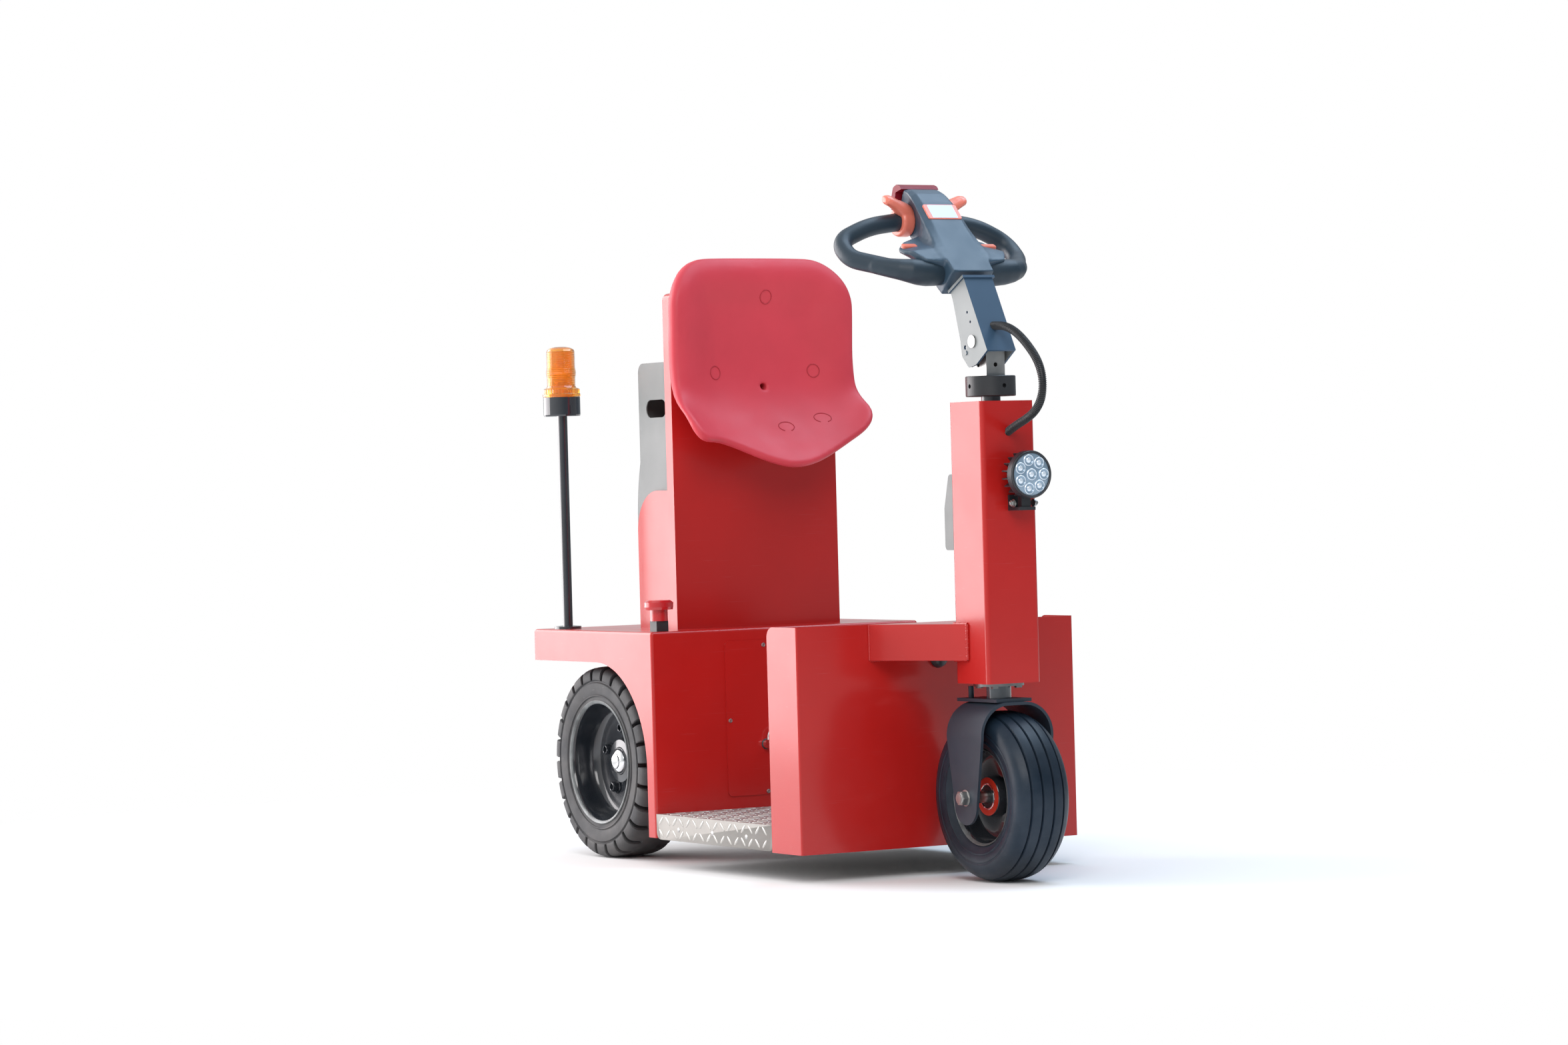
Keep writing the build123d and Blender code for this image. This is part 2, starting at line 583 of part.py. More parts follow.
def head_cover():
    """Moulded cover: a spine with bevelled ridges, pockets for the rockers and two shoulders."""
    spine = prism_xz(polygon(*SPINE_XZ), -SPINE_HALF, SPINE_HALF)
    face_edges = [e for e in spine.edges() if abs(abs(e.center().Y) - SPINE_HALF) < 0.1 and e.center().X > 340
                  and e.center().Z > 1110 and e.length > 60]
    spine = chamfer(face_edges, SPINE_CHAMFER)
    x, z = BAR_AXIS
    for side in (-1, 1):
        sections = [Plane.XZ.offset(-side * y) * polygon(*points) for y, points in SHOULDER_XZ.items()]
        spine += loft(sections, ruled=True)
        spine -= rod_y(x, z, RING_R + RING_GAP, *span(side, RING_Y0 - RING_GAP / 4, SPINE_HALF + 20))
    seat, half = arm_length() + HEAD_GAP, TILLER_HALF + ARM_COLLAR_OUT + HEAD_GAP
    socket = polygon(arm_point(seat, -60), arm_point(seat, 120), arm_point(seat - 60, 120), arm_point(seat - 60, -60))
    return spine - prism_xz(socket, -half, half)


def head_cap():
    """Belly button at the tip of the head."""
    cap = polygon((341, 1267.2), (336, 1273), (325, 1277), (313, 1272), (306, 1254), (305, 1231), (312.5, 1230),
                  (314, 1236), (321.5, 1262.5))
    cap = fillet(cap.vertices().sort_by(lambda v: v.X - v.Y)[:3], 6)
    return prism_xz(cap, -CAP_HALF, CAP_HALF) - prism_xz(polygon(*SPINE_XZ), -SPINE_HALF - 1, SPINE_HALF + 1)


BAR_ROUTE = [(342, RING_Y0 + 0.5, 1209), (346, 118, 1197), (345, 183, 1168), (386, 182, 1135), (474, 118, 1108),
             (470, 40, 1102)]
BAR_BENDS = [200, 35, 50, 70]


def handle_loops():
    """Two closed grips: the upper bar leaves the spine, turns down and runs back into the shoulder."""
    loops = []
    cover = head_cover()
    for side in (-1, 1):
        path = FilletPolyline(*[(x, side * y, z) for x, y, z in BAR_ROUTE], radius=BAR_BENDS)
        bar = sweep(Plane(path @ 0, z_dir=path % 0) * Circle(BAR_R), path) - cover
        loops.append(bar.solids().sort_by(SortBy.VOLUME)[-1])
    return Compound(loops)


def thumb_rockers():
    """Ring round each upper bar with a paddle for the thumb."""
    rockers = []
    x, z = BAR_AXIS
    paddle = polygon((x - 8, z + 22), (x + 8, z + 42), (x + 17, z + 49), (x + 25, z + 48), (x + 27, z + 41),
                     (x + 14, z + 21))
    for side in (-1, 1):
        ring = rod_y(x, z, RING_R, *span(side, RING_Y0, RING_Y1))
        ring += prism_xz(paddle, *span(side, SPINE_HALF + RING_GAP / 4, PADDLE_Y))
        rockers.append(ring - rod_y(x, z, BAR_R + RING_PLAY, -PADDLE_Y - 1, PADDLE_Y + 1))
    return Compound(rockers)


# Wheels
def ring_points(radius, count, turn=0.0):
    return [(radius * cos(2 * pi * (k + turn) / count), radius * sin(2 * pi * (k + turn) / count))
            for k in range(count)]


def lug_outline(top, root, turn):
    """Side view of the shoulder blocks: the notches keep their width from the tread down to the root."""
    points = []
    for k in range(REAR_LUGS):
        middle = 2 * pi * (k + turn) / REAR_LUGS
        half = pi / REAR_LUGS
        gap_top, gap_root = LUG_NOTCH / 2 / top, LUG_NOTCH / 2 / root
        for r, a in ((root, middle - half + gap_root), (top, middle - half + gap_top),
                     (top, middle + half - gap_top), (root, middle + half - gap_root)):
            points.append((r * cos(a), r * sin(a)))
    return points


def taper_ring(low, high, y0, y1):
    """Ruled solid between two outlines with like points, from y0 to y1."""
    return loft([Plane.XZ.offset(-y0) * polygon(*low), Plane.XZ.offset(-y1) * polygon(*high)], ruled=True)


def rear_tyre_form():
    """Solid tyre: plain middle and staggered shoulder blocks with notches between them."""
    half, root = REAR_W / 2, REAR_R - LUG_DEPTH
    tyre = prism_xz(polygon(*ring_points(REAR_R, TYRE_SIDES)), -RIB_HALF, RIB_HALF)
    for s, turn in ((-1, 0.0), (1, 0.5)):
        tyre += prism_xz(polygon(*lug_outline(REAR_R, root, turn)), *span(s, RIB_HALF, half))
    return tyre - rod_y(0, 0, REAR_RIM_R, -half - 1, half + 1)


def rear_rim(side):
    """Deep-dished rim with its hub and five nuts, turning on the stub axle, under a domed cap."""
    w0, w1 = REAR_OUT_Y - REAR_W + 6, REAR_OUT_Y - 6
    bead, bore, end = REAR_RIM_R, STUB_R + RUNNING, CAP_END_Y + 2
    points = [(bore, 156), (40, 156), (40, 186), (104, 194), (104, w0), (bead, w0), (bead, w1), (106, w1 - 2),
              (100, 202), (44, 196), (44, 214), (21, 216), (21, 222), (14, 228), (0, 229), (0, end), (bore, end)]
    rim = spun_y(REAR_AXLE_X, REAR_R, [(a, side * b) for a, b in points])
    for k in range(5):
        a = radians(90 + 72 * k)
        rim += hexagon_y(REAR_AXLE_X + 66 * cos(a), REAR_R + 66 * sin(a), 19, *span(side, 196, 212))
    return rim


def front_tyre():
    """Solid tyre with a rounded crown."""
    half, r = FRONT_HALF_W, FRONT_R
    crown = [(20.0, r), (39.0, r - 5), (50.0, r - 13), (half, r - 24)]
    tyre = prism_xz(polygon(*ring_points(r, TYRE_SIDES)), -20, 20)
    for s in (-1, 1):
        for (y0, r0), (y1, r1) in zip(crown, crown[1:]):
            tyre += taper_ring(ring_points(r0, TYRE_SIDES), ring_points(r1, TYRE_SIDES), s * y0, s * y1)
    return Pos(AXIS_X, 0, r) * (tyre - rod_y(0, 0, FRONT_RIM_R, -half - 1, half + 1))


def front_rim():
    bead, h, hub, bore = FRONT_RIM_R, FRONT_HALF_W - 12, FRONT_HUB_HALF, AXLE_R + RUNNING
    points = [(bore, -hub), (34, -hub), (34, -4), (76, -4), (78, -h + 6), (bead, -h), (bead, h), (78, h - 6),
              (76, 4), (34, 4), (34, hub), (bore, hub)]
    return spun_y(AXIS_X, FRONT_R, points)


# Seat and what carries it
def seat_post():
    face = Pos(0, (DECK_Z + POST_TOP) / 2) * Rectangle(2 * POST_HALF, POST_TOP - DECK_Z)
    face = fillet(face.vertices().group_by(Axis.Y)[-1], POST_CORNER_R)
    t = SHEET
    inner = block(POST_REAR_X + t, POST_FRONT_X - t, -POST_HALF + t, POST_HALF - t, DECK_Z - 1,
                  POST_TOP - POST_CORNER_R)
    return prism_yz(face, POST_REAR_X, POST_FRONT_X) - inner


def seat_gussets():
    x0, x1 = POST_REAR_X - GUSSET_DEPTH, POST_REAR_X
    side = polygon((x0, DECK_Z), (x1, DECK_Z), (x1, GUSSET_TOP), (x0, GUSSET_TOP))
    side = fillet(side.vertices().sort_by(lambda v: v.Y - v.X)[-1], GUSSET_R)
    return Compound([prism_xz(side, *span(s, GUSSET_Y - GUSSET_T, GUSSET_Y)) for s in (-1, 1)])


def rear_cover():
    """Grey cover behind the seat post, with a bulged back and a hand slot in each side."""
    x0, x1, t = POST_REAR_X - COVER_DEPTH, POST_REAR_X, COVER_SHEET
    half = GUSSET_Y - GUSSET_T
    low, high = COVER_BULGE_Z - COVER_BULGE_HALF, COVER_BULGE_Z + COVER_BULGE_HALF
    outline = [Line((x1, DECK_Z), (x1, COVER_TOP)), Line((x1, COVER_TOP), (x0, COVER_TOP)),
               Line((x0, COVER_TOP), (x0, high)),
               ThreePointArc((x0, high), (x0 - COVER_BULGE, COVER_BULGE_Z), (x0, low)),
               Line((x0, low), (x0, DECK_Z)), Line((x0, DECK_Z), (x1, DECK_Z))]
    side = make_face(Wire(outline))
    side = fillet(side.vertices().sort_by(lambda v: v.Y - v.X)[-1], COVER_R)
    inside = polygon((x0 + t, DECK_Z - 1), (x1 + 1, DECK_Z - 1), (x1 + 1, COVER_TOP - t), (x0 + t, COVER_TOP - t))
    inside = fillet(inside.vertices().sort_by(lambda v: v.Y - v.X)[-1], COVER_R - t)
    hollow = prism_xz(inside, -half + t, half - t)
    slot = prism_xz(Pos(SLOT_X, SLOT_Z) * SlotOverall(SLOT_LENGTH, SLOT_H), -half - 1, half + 1)
    return prism_xz(side, -half, half) - hollow - slot


SEAT_MIDDLE = [(-281, 1205), (-265, 1135), (-261, 1060), (-260, 985), (-252, 922), (-226, 862), (-181, 806),
               (-140, 762), (-100, 716)]
SEAT_EDGE = [(-264, 1205), (-243, 1135), (-239, 1060), (-243, 985), (-235, 930), (-205, 888), (-168, 860),
             (-146, 832), (-118, 792)]


def seat_surface():
    """Front of the bucket: each row runs from the middle line out to the side line and rises with the bolster."""
    columns, reach = 12, SEAT_HALF + 14
    rows = []
    for (mx, mz), (ex, ez) in zip(SEAT_MIDDLE, SEAT_EDGE):
        row = []
        for k in range(-columns, columns + 1):
            u = k / columns
            blend = abs(u) ** 2.4
            row.append(Vector(mx + blend * (ex - mx), u * reach, mz + blend * (ez - mz)))
        rows.append(row)
    return Face.make_surface_from_array_of_points(rows)


def seat_outline():
    """Front view of the seat: rounded top corners and a lip that dips in the middle."""
    h, top, r = SEAT_HALF, SEAT_TOP, SEAT_CORNER_R
    side_z = SEAT_LIP_Z + SEAT_LIP_RISE + 42
    edges = [Line((-h + r, top), (h - r, top)), RadiusArc((h - r, top), (h, top - r), r),
             Line((h, top - r), (h, side_z)),
             Spline((h, side_z), (0.74 * h, SEAT_LIP_Z + 0.66 * SEAT_LIP_RISE), (0, SEAT_LIP_Z),
                    (-0.74 * h, SEAT_LIP_Z + 0.66 * SEAT_LIP_RISE), (-h, side_z), tangents=[(0, -1), (0, 1)]),
             Line((-h, side_z), (-h, top - r)), RadiusArc((-h, top - r), (-h + r, top), r)]
    return make_face(Wire(edges))


def seat_shell():
    """Moulded bucket with a rounded rim, carried by three bosses on the post."""
    body = extrude(seat_surface(), amount=SEAT_WALL, dir=(-1, 0, 0))
    body = body & prism_yz(seat_outline(), POST_FRONT_X - 60, 0)
    for rank, radius in ((-1, SEAT_RIM_R), (0, SEAT_BACK_R)):
        broad = body.faces().sort_by(SortBy.AREA)[-2:].sort_by(Axis.X)[rank]
        body = fillet(broad.edges(), radius)
    for y, z in SEAT_BOSSES:
        body += rod_x(y, z, SEAT_BOSS_R, POST_FRONT_X, POST_FRONT_X + SEAT_WALL / 2)
    y, z = DRAIN
    return body - rod_x(y, z, DRAIN_R, POST_FRONT_X - 1, POST_FRONT_X + 3 * SEAT_WALL)


# Beacon and emergency stop
def beacon_pole():
    z0 = DECK_Z
    return spun_z(POLE_X, POLE_Y, [(0, z0), (27, z0), (27, z0 + 5), (POLE_R, z0 + 7), (POLE_R, POLE_TOP),
                                   (0, POLE_TOP)])


def beacon_base():
    z, r, h = POLE_TOP, BEACON_BASE_R, BEACON_BASE_H
    return spun_z(POLE_X, POLE_Y, [(0, z), (r - 1, z), (r, z + 3), (r, z + h), (0, z + h)])


def beacon_lens():
    z, r, foot, h = POLE_TOP + BEACON_BASE_H, LENS_R, LENS_FOOT_R, LENS_H
    return spun_z(POLE_X, POLE_Y, [(0, z), (foot, z), (foot, z + 18), (r, z + 18), (r, z + 50), (r + 2, z + 60),
                                   (r, z + 70), (r, z + h - 9), (r - 7, z + h - 2), (0, z + h)])


def stop_base():
    w = STOP_HALF
    return block(STOP_X - w, STOP_X + w, STOP_Y - w, STOP_Y + w, DECK_Z, DECK_Z + STOP_BASE_H)


def stop_button():
    z, r, h = DECK_Z + STOP_BASE_H, STOP_R, STOP_H
    return spun_z(STOP_X, STOP_Y, [(0, z), (17, z), (17, z + h - 20), (r - 1, z + h - 19), (r, z + h - 14),
                                   (r, z + h - 5), (r - 6, z + h - 1), (0, z + h)])


# Tow hitch, drive axle, motor and battery
def tow_hitch():
    """Clevis for a drawbar eye, with a keeper tube on its back plate for the pin when nothing is towed."""
    low, high = HITCH_Z - HITCH_BACK_HALF, HITCH_Z + HITCH_BACK_HALF
    hitch = block(HITCH_SEAT - HITCH_BACK, HITCH_SEAT, -HITCH_HALF, KEEPER_Y + KEEPER_R, low, high)
    for s in (-1, 1):
        z0, z1 = sorted((HITCH_Z + s * HITCH_GAP / 2, HITCH_Z + s * (HITCH_GAP / 2 + HITCH_PLATE)))
        tongue = Pos((HITCH_SEAT + HITCH_END_X) / 2, 0) * Rectangle(HITCH_SEAT - HITCH_END_X, 2 * HITCH_HALF)
        tongue = fillet(tongue.vertices().group_by(Axis.X)[0], HITCH_CORNER_R)
        hitch += prism_xy(tongue, z0, z1)
    hitch -= rod_z(HITCH_PIN_X, 0, HITCH_HOLE_R, low, high)
    hitch += rod_z(KEEPER_X, KEEPER_Y, KEEPER_R, HITCH_Z - KEEPER_HALF, HITCH_Z + KEEPER_HALF)
    return hitch - rod_z(KEEPER_X, KEEPER_Y, HITCH_PIN_R + PIN_PLAY, low, high)


def tow_pin():
    """Pin with a collar and a lifting ring, stowed in the keeper tube."""
    x, y, top = KEEPER_X, KEEPER_Y, HITCH_Z + KEEPER_HALF
    pin = rod_z(x, y, HITCH_PIN_R, top - PIN_LENGTH, top)
    pin += rod_z(x, y, PIN_COLLAR_R, top, top + PIN_COLLAR_T)
    z = top + PIN_COLLAR_T + PIN_RING_R - 2
    ring = rod_x(y, z, PIN_RING_R, x - PIN_RING_T / 2, x + PIN_RING_T / 2)
    return pin + (ring - rod_x(y, z, PIN_RING_R - PIN_RING_T, x - PIN_RING_T, x + PIN_RING_T))


def rear_axle():
    """Transaxle tube with its gear case, mounting pads and fixed stub axles."""
    half = WELL_HALF + 10
    tube = rod_y(REAR_AXLE_X, REAR_R, AXLE_TUBE_R, -half, half)
    tube += rod_y(REAR_AXLE_X, REAR_R, GEAR_CASE_R, -GEAR_CASE_HALF, GEAR_CASE_HALF)
    for s in (-1, 1):
        tube += rod_y(REAR_AXLE_X, REAR_R, STUB_R, *span(s, half, CAP_END_Y))
        tube += block(REAR_AXLE_X - AXLE_TUBE_R, REAR_AXLE_X + AXLE_TUBE_R, s * AXLE_PAD_Y - AXLE_PAD_HALF,
                      s * AXLE_PAD_Y + AXLE_PAD_HALF, REAR_R, DRIVE_FLOOR)
    return tube


def motor_block():
    z0 = DRIVE_FLOOR + TRAY_SHEET
    return block(REAR_AXLE_X - 85, REAR_AXLE_X + 60, -80, 80, z0, z0 + MOTOR_H)


def battery_block():
    t = TRAY_SHEET
    return block(TRAY_FRONT + t + 5, FRONT_X - SHEET - t - 2, -WELL_HALF + t + 5, WELL_HALF - t - 5, TRAY_Z + t,
                 BATTERY_TOP)


# Conduit
def conduit():
    """Flexible sleeve from the arm's front plate to the column's front face."""
    points = [Vector(x, 0, z) for x, z in CONDUIT_XZ]
    runs = [b - a for a, b in zip(points, points[1:])]
    radii = [0.45 * min(a.length, b.length) / tan(radians(a.get_angle(b)) / 2) for a, b in zip(runs, runs[1:])]
    print("conduit radii", [round(r, 1) for r in radii])
    path = FilletPolyline(*points, radius=radii)
    print("conduit length", round(path.length, 1))
    tube = sweep(Plane(path @ 0, z_dir=path % 0) * Circle(CONDUIT_R), path)
    (lx, lz), (hx, hz) = TILLER_LOW, TILLER_HIGH
    behind = prism_xz(polygon((lx, lz), (hx, hz), (hx - 100, hz), (lx - 100, lz)), -50, 50)
    return tube - behind - block(COLUMN_X0, COLUMN_X1, -50, 50, COLUMN_TOP - 200, COLUMN_TOP)


PARTS = {
    "body_shell": body_shell, "chassis_box": chassis_box, "hatch_panel": hatch_panel,
    "hatch_handle": hatch_handle, "floor_frame": floor_frame, "step_plate": step_plate, "apron": apron,
    "front_arm": front_arm, "column": column, "column_pad": column_pad, "bearing_flange": bearing_flange,
    "lamp_housing": lamp_housing, "lamp_lens": lamp_lens, "fork": fork, "steer_shaft": steer_shaft,
    "collar": collar, "tiller_block": tiller_block, "front_axle": front_axle, "tiller_arm": tiller_arm,
    "pivot_bolt": pivot_bolt, "head_cover": head_cover, "head_cap": head_cap, "handle_loops": handle_loops,
    "thumb_rockers": thumb_rockers, "front_tyre": front_tyre, "front_rim": front_rim, "seat_post": seat_post,
    "seat_gussets": seat_gussets, "rear_cover": rear_cover, "seat_shell": seat_shell,
    "beacon_pole": beacon_pole, "beacon_base": beacon_base, "beacon_lens": beacon_lens,
    "stop_base": stop_base, "stop_button": stop_button, "tow_hitch": tow_hitch, "tow_pin": tow_pin,
    "rear_axle": rear_axle, "motor_block": motor_block, "battery_block": battery_block, "conduit": conduit,
}

for name, make in PARTS.items():
    save(make(), name)
rear_tyre = rear_tyre_form()
for side, word in ((-1, "right"), (1, "left")):
    save(Pos(REAR_AXLE_X, side * (REAR_OUT_Y - REAR_W / 2), REAR_R) * rear_tyre, f"rear_tyre_{word}")
    save(rear_rim(side), f"rear_rim_{word}")
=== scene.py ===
# Looks of the three-wheel ride-on electric tow tractor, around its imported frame.
# The frame is in metres; pieces are drawn in millimetres. +X is forward, +Y is the driver's left, +Z is up.
import bmesh
import bpy
from math import cos, pi, radians, sin
from mathutils import Matrix, Vector
from mathutils.bvhtree import BVHTree


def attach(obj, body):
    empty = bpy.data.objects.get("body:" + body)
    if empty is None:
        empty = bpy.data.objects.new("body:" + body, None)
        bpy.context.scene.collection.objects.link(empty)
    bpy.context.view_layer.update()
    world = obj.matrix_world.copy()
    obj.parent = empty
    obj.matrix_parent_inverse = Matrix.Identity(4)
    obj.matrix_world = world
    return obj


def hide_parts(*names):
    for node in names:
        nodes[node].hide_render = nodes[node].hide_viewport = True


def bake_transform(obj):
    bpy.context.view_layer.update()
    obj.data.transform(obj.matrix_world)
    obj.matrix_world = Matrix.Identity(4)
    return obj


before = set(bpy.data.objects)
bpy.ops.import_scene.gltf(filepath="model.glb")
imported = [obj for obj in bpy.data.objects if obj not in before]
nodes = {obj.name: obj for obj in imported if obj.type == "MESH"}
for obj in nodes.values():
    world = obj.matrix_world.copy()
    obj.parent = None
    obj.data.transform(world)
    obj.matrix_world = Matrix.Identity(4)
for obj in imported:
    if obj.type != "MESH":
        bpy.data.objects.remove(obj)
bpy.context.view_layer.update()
MM = 0.001
X, Y, Z = Vector((1, 0, 0)), Vector((0, 1, 0)), Vector((0, 0, 1))
BOTH_SIDES = (-1, 1)

# Camera, fitted to the photograph: places in metres, angles in degrees, lens and sensor in millimetres
CAMERA_TARGET = Vector((-0.002, -0.10806, 0.65587))
CAMERA_DISTANCE = 8.631
CAMERA_AZIMUTH = -30.691
CAMERA_ELEVATION = 0.439
CAMERA_ROLL = -1.571
CAMERA_LENS = 104.08
SENSOR_WIDTH = 36.0

# Conduit: route and length in metres as in the CAD; radius, pitch and the groove's depth at each quarter of
# a pitch in millimetres
CONDUIT_ROUTE = [
    (0.575, 0, 1.0045), (0.601, 0, 1.004), (0.627, 0, 0.9985), (0.6505, 0, 0.9885), (0.672, 0, 0.975),
    (0.691, 0, 0.96), (0.708, 0, 0.9445), (0.7215, 0, 0.9265), (0.729, 0, 0.9065), (0.7295, 0, 0.886),
    (0.723, 0, 0.867), (0.710, 0, 0.852), (0.693, 0, 0.841), (0.673, 0, 0.833), (0.650, 0, 0.8255),
    (0.627, 0, 0.8175), (0.605, 0, 0.808)]
CONDUIT_R = 7.75
CONDUIT_PITCH = 3.4
CONDUIT_GROOVE = (0.0, 0.0, 1.5, 1.5)

# Wheels
REAR_X, REAR_Y, REAR_R = -485.0, 208.0, 189.0
FRONT_X, FRONT_R = 561.0, 154.0

# Lamp, beacon, hatch and step
LAMP_AT = Vector((0, 12, 734))
LAMP_BOLT = Vector((640, 12, 683))
LED_COUNT, LED_CIRCLE, LED_R = 7, 26.2, 10.6
BEACON_AT = Vector((-600, -262, 0))
HATCH_X = -182.0
HATCH_SCREWS = ((-56, 418), (-134, 274), (-53, 133), (22, 274))
HANDLE_CUPS = ((-55, 225), (17, 225))
RIVET_X = (-98.5, 30.4, 157.2)
STEP_HALF, SHEET_HALF = 303.0, 302.2


def make_camera():
    a, e, r = radians(CAMERA_AZIMUTH), radians(CAMERA_ELEVATION), radians(CAMERA_ROLL)
    back = Vector((cos(e) * cos(a), cos(e) * sin(a), sin(e)))
    right = (-back).cross(Z).normalized()
    up = right.cross(-back)
    x_axis = right * cos(r) + up * sin(r)
    y_axis = up * cos(r) - right * sin(r)
    data = bpy.data.cameras.new("camera")
    data.sensor_width = SENSOR_WIDTH
    data.lens = CAMERA_LENS
    camera = bpy.data.objects.new("camera", data)
    place = Matrix((x_axis, y_axis, back)).transposed().to_4x4()
    place.translation = CAMERA_TARGET + back * CAMERA_DISTANCE
    camera.matrix_world = place
    bpy.context.scene.collection.objects.link(camera)
    bpy.context.scene.camera = camera


# Materials
SCRATCH_STRETCH, SCRATCH_TURN = (1.0, 0.18, 7.0), (0.3, 0.5, 0.2)
DUST_COLOUR = (0.36, 0.33, 0.30)
GRAIN_DEPTH = 0.0006


class Nodes:
    """Short ways to add and wire the shader nodes of one tree."""

    def __init__(self, tree):
        self.add, self.wire = tree.nodes.new, tree.links.new
        self.place = self.add("ShaderNodeTexCoord")

    def noise(self, scale, detail, stretch=None):
        node = self.add("ShaderNodeTexNoise")
        node.inputs["Scale"].default_value = scale
        node.inputs["Detail"].default_value = detail
        source = self.place.outputs["Object"]
        if stretch:
            mapping = self.add("ShaderNodeMapping")
            mapping.inputs["Scale"].default_value = stretch
            mapping.inputs["Rotation"].default_value = SCRATCH_TURN
            self.wire(source, mapping.inputs["Vector"])
            source = mapping.outputs["Vector"]
        self.wire(source, node.inputs["Vector"])
        return node.outputs["Fac"]

    def remap(self, value, low, high, to_low, to_high, soft=False):
        node = self.add("ShaderNodeMapRange")
        if soft:
            node.interpolation_type = "SMOOTHSTEP"
        numbers = {"From Min": low, "From Max": high, "To Min": to_low, "To Max": to_high}
        for key, number in numbers.items():
            node.inputs[key].default_value = number
        self.wire(value, node.inputs["Value"])
        return node.outputs["Result"]

    def mix(self, factor, a, b):
        """Blend of two colours, each a tuple or an output."""
        node = self.add("ShaderNodeMix")
        node.data_type = "RGBA"
        self.wire(factor, node.inputs[0])
        for socket, item in ((node.inputs[6], a), (node.inputs[7], b)):
            if isinstance(item, tuple):
                socket.default_value = (*item, 1)
            else:
                self.wire(item, socket)
        return node.outputs[2]

    def maths(self, operation, a, b=None):
        node = self.add("ShaderNodeMath")
        node.operation = operation
        self.wire(a, node.inputs[0])
        if isinstance(b, float):
            node.inputs[1].default_value = b
        elif b is not None:
            self.wire(b, node.inputs[1])
        return node.outputs[0]

    def part(self, vector, axis):
        node = self.add("ShaderNodeSeparateXYZ")
        self.wire(vector, node.inputs["Vector"])
        return node.outputs[axis]


def surface(name, colour, rough, metal=0.0, spec=0.5, coat=0.0, coat_rough=0.1, grain=0.0, grain_scale=900.0,
            mottle=0.08, mottle_scale=9.0, dust=0.0, dust_top=0.5, scuffs=0.0, painted_side_light=None,
            glow=0.0, transmission=0.0):
    """Painted, moulded or metal surface: clouded colour and roughness, fine grain, dust low down, scuffs; a
    painted side light and a painted glow where asked.
    """
    material = bpy.data.materials.new(name)
    material.use_nodes = True
    tree = material.node_tree
    shader = tree.nodes["Principled BSDF"].inputs
    values = {"Metallic": metal, "Specular IOR Level": spec, "Coat Weight": coat, "Roughness": rough,
              "Coat Roughness": coat_rough, "Transmission Weight": transmission, "Base Color": (*colour, 1)}
    for key, value in values.items():
        shader[key].default_value = value
    # Painted glow: the colour is also given out as light.
    if glow:
        shader["Emission Color"].default_value = (*colour, 1)
        shader["Emission Strength"].default_value = glow
    make = Nodes(tree)
    darker = tuple(c * (1 - mottle) for c in colour)
    lighter = tuple(min(1.0, c * (1 + mottle)) for c in colour)
    shade = make.mix(make.remap(make.noise(mottle_scale, 5.0), 0.3, 0.7, 0.0, 1.0), darker, lighter)
    # Painted side light: faces turned across the machine are blended to a lighter colour, as if lit from the
    # side.
    if painted_side_light:
        across = make.maths("ABSOLUTE", make.part(make.place.outputs["Normal"], "Y"))
        shade = make.mix(make.remap(across, 0.85, 0.95, 0.0, 1.0), shade, painted_side_light)
    if scuffs:
        lines = make.remap(make.noise(60.0, 6.0, SCRATCH_STRETCH), 0.66, 0.74, 0.0, scuffs)
        shade = make.mix(lines, shade, tuple(0.5 * c + 0.22 for c in colour))
    if dust:
        low = make.remap(make.part(make.place.outputs["Object"], "Z"), 0.0, dust_top, 1.0, 0.0)
        patches = make.remap(make.noise(24.0, 6.0), 0.35, 0.7, 0.2, 1.0)
        film = make.maths("MULTIPLY", make.maths("MULTIPLY", low, patches), dust)
        shade = make.mix(film, shade, DUST_COLOUR)
    duller, shinier = min(1.0, rough + 0.06), max(0.02, rough - 0.05)
    roughness = make.remap(make.noise(mottle_scale * 2.3, 3.0), 0.3, 0.7, shinier, duller)
    make.wire(shade, shader["Base Color"])
    make.wire(roughness, shader["Roughness"])
    if grain:
        bump = make.add("ShaderNodeBump")
        bump.inputs["Strength"].default_value = grain
        bump.inputs["Distance"].default_value = GRAIN_DEPTH
        make.wire(make.noise(grain_scale, 2.0), bump.inputs["Height"])
        make.wire(bump.outputs["Normal"], shader["Normal"])
    return material


RED = surface("red_paint", (0.46, 0.011, 0.009), 0.36, spec=0.22, coat=0.7, coat_rough=0.16, grain=0.06,
              grain_scale=420.0, mottle=0.05, mottle_scale=5.0, dust=0.02, dust_top=0.25, scuffs=0.08)
SEAT = surface("seat_red", (0.60, 0.050, 0.072), 0.48, spec=0.36, grain=0.16, grain_scale=1300.0, mottle=0.05)
SEAT_MARK = surface("seat_mark", (0.42, 0.030, 0.045), 0.50, spec=0.3, grain=0.10, grain_scale=1300.0,
                    mottle=0.05)
BLACK = surface("black_paint", (0.022, 0.024, 0.027), 0.42, grain=0.08, mottle=0.25, dust=0.25, dust_top=0.5)
LAMP_BLACK = surface("lamp_black", (0.018, 0.021, 0.026), 0.40, grain=0.12, grain_scale=1500.0, mottle=0.2)
FORK = surface("fork_paint", (0.022, 0.034, 0.050), 0.46, spec=0.4, grain=0.12, grain_scale=700.0,
               mottle=0.12, dust=0.08, dust_top=0.3)
NECK = surface("neck_paint", (0.08, 0.10, 0.12), 0.20, coat=0.6, grain=0.03, mottle=0.1)
ZINC = surface("zinc", (0.42, 0.42, 0.41), 0.34, metal=1.0, grain=0.05, grain_scale=1600.0, mottle=0.12,
               mottle_scale=40.0)
CHROME = surface("chrome", (0.80, 0.81, 0.82), 0.09, metal=1.0, mottle=0.03)
PLATE = surface("chequer_aluminium", (0.33, 0.315, 0.29), 0.38, metal=0.35, grain=0.10, grain_scale=700.0,
                mottle=0.08, mottle_scale=16.0, dust=0.30, dust_top=0.35, scuffs=0.25)
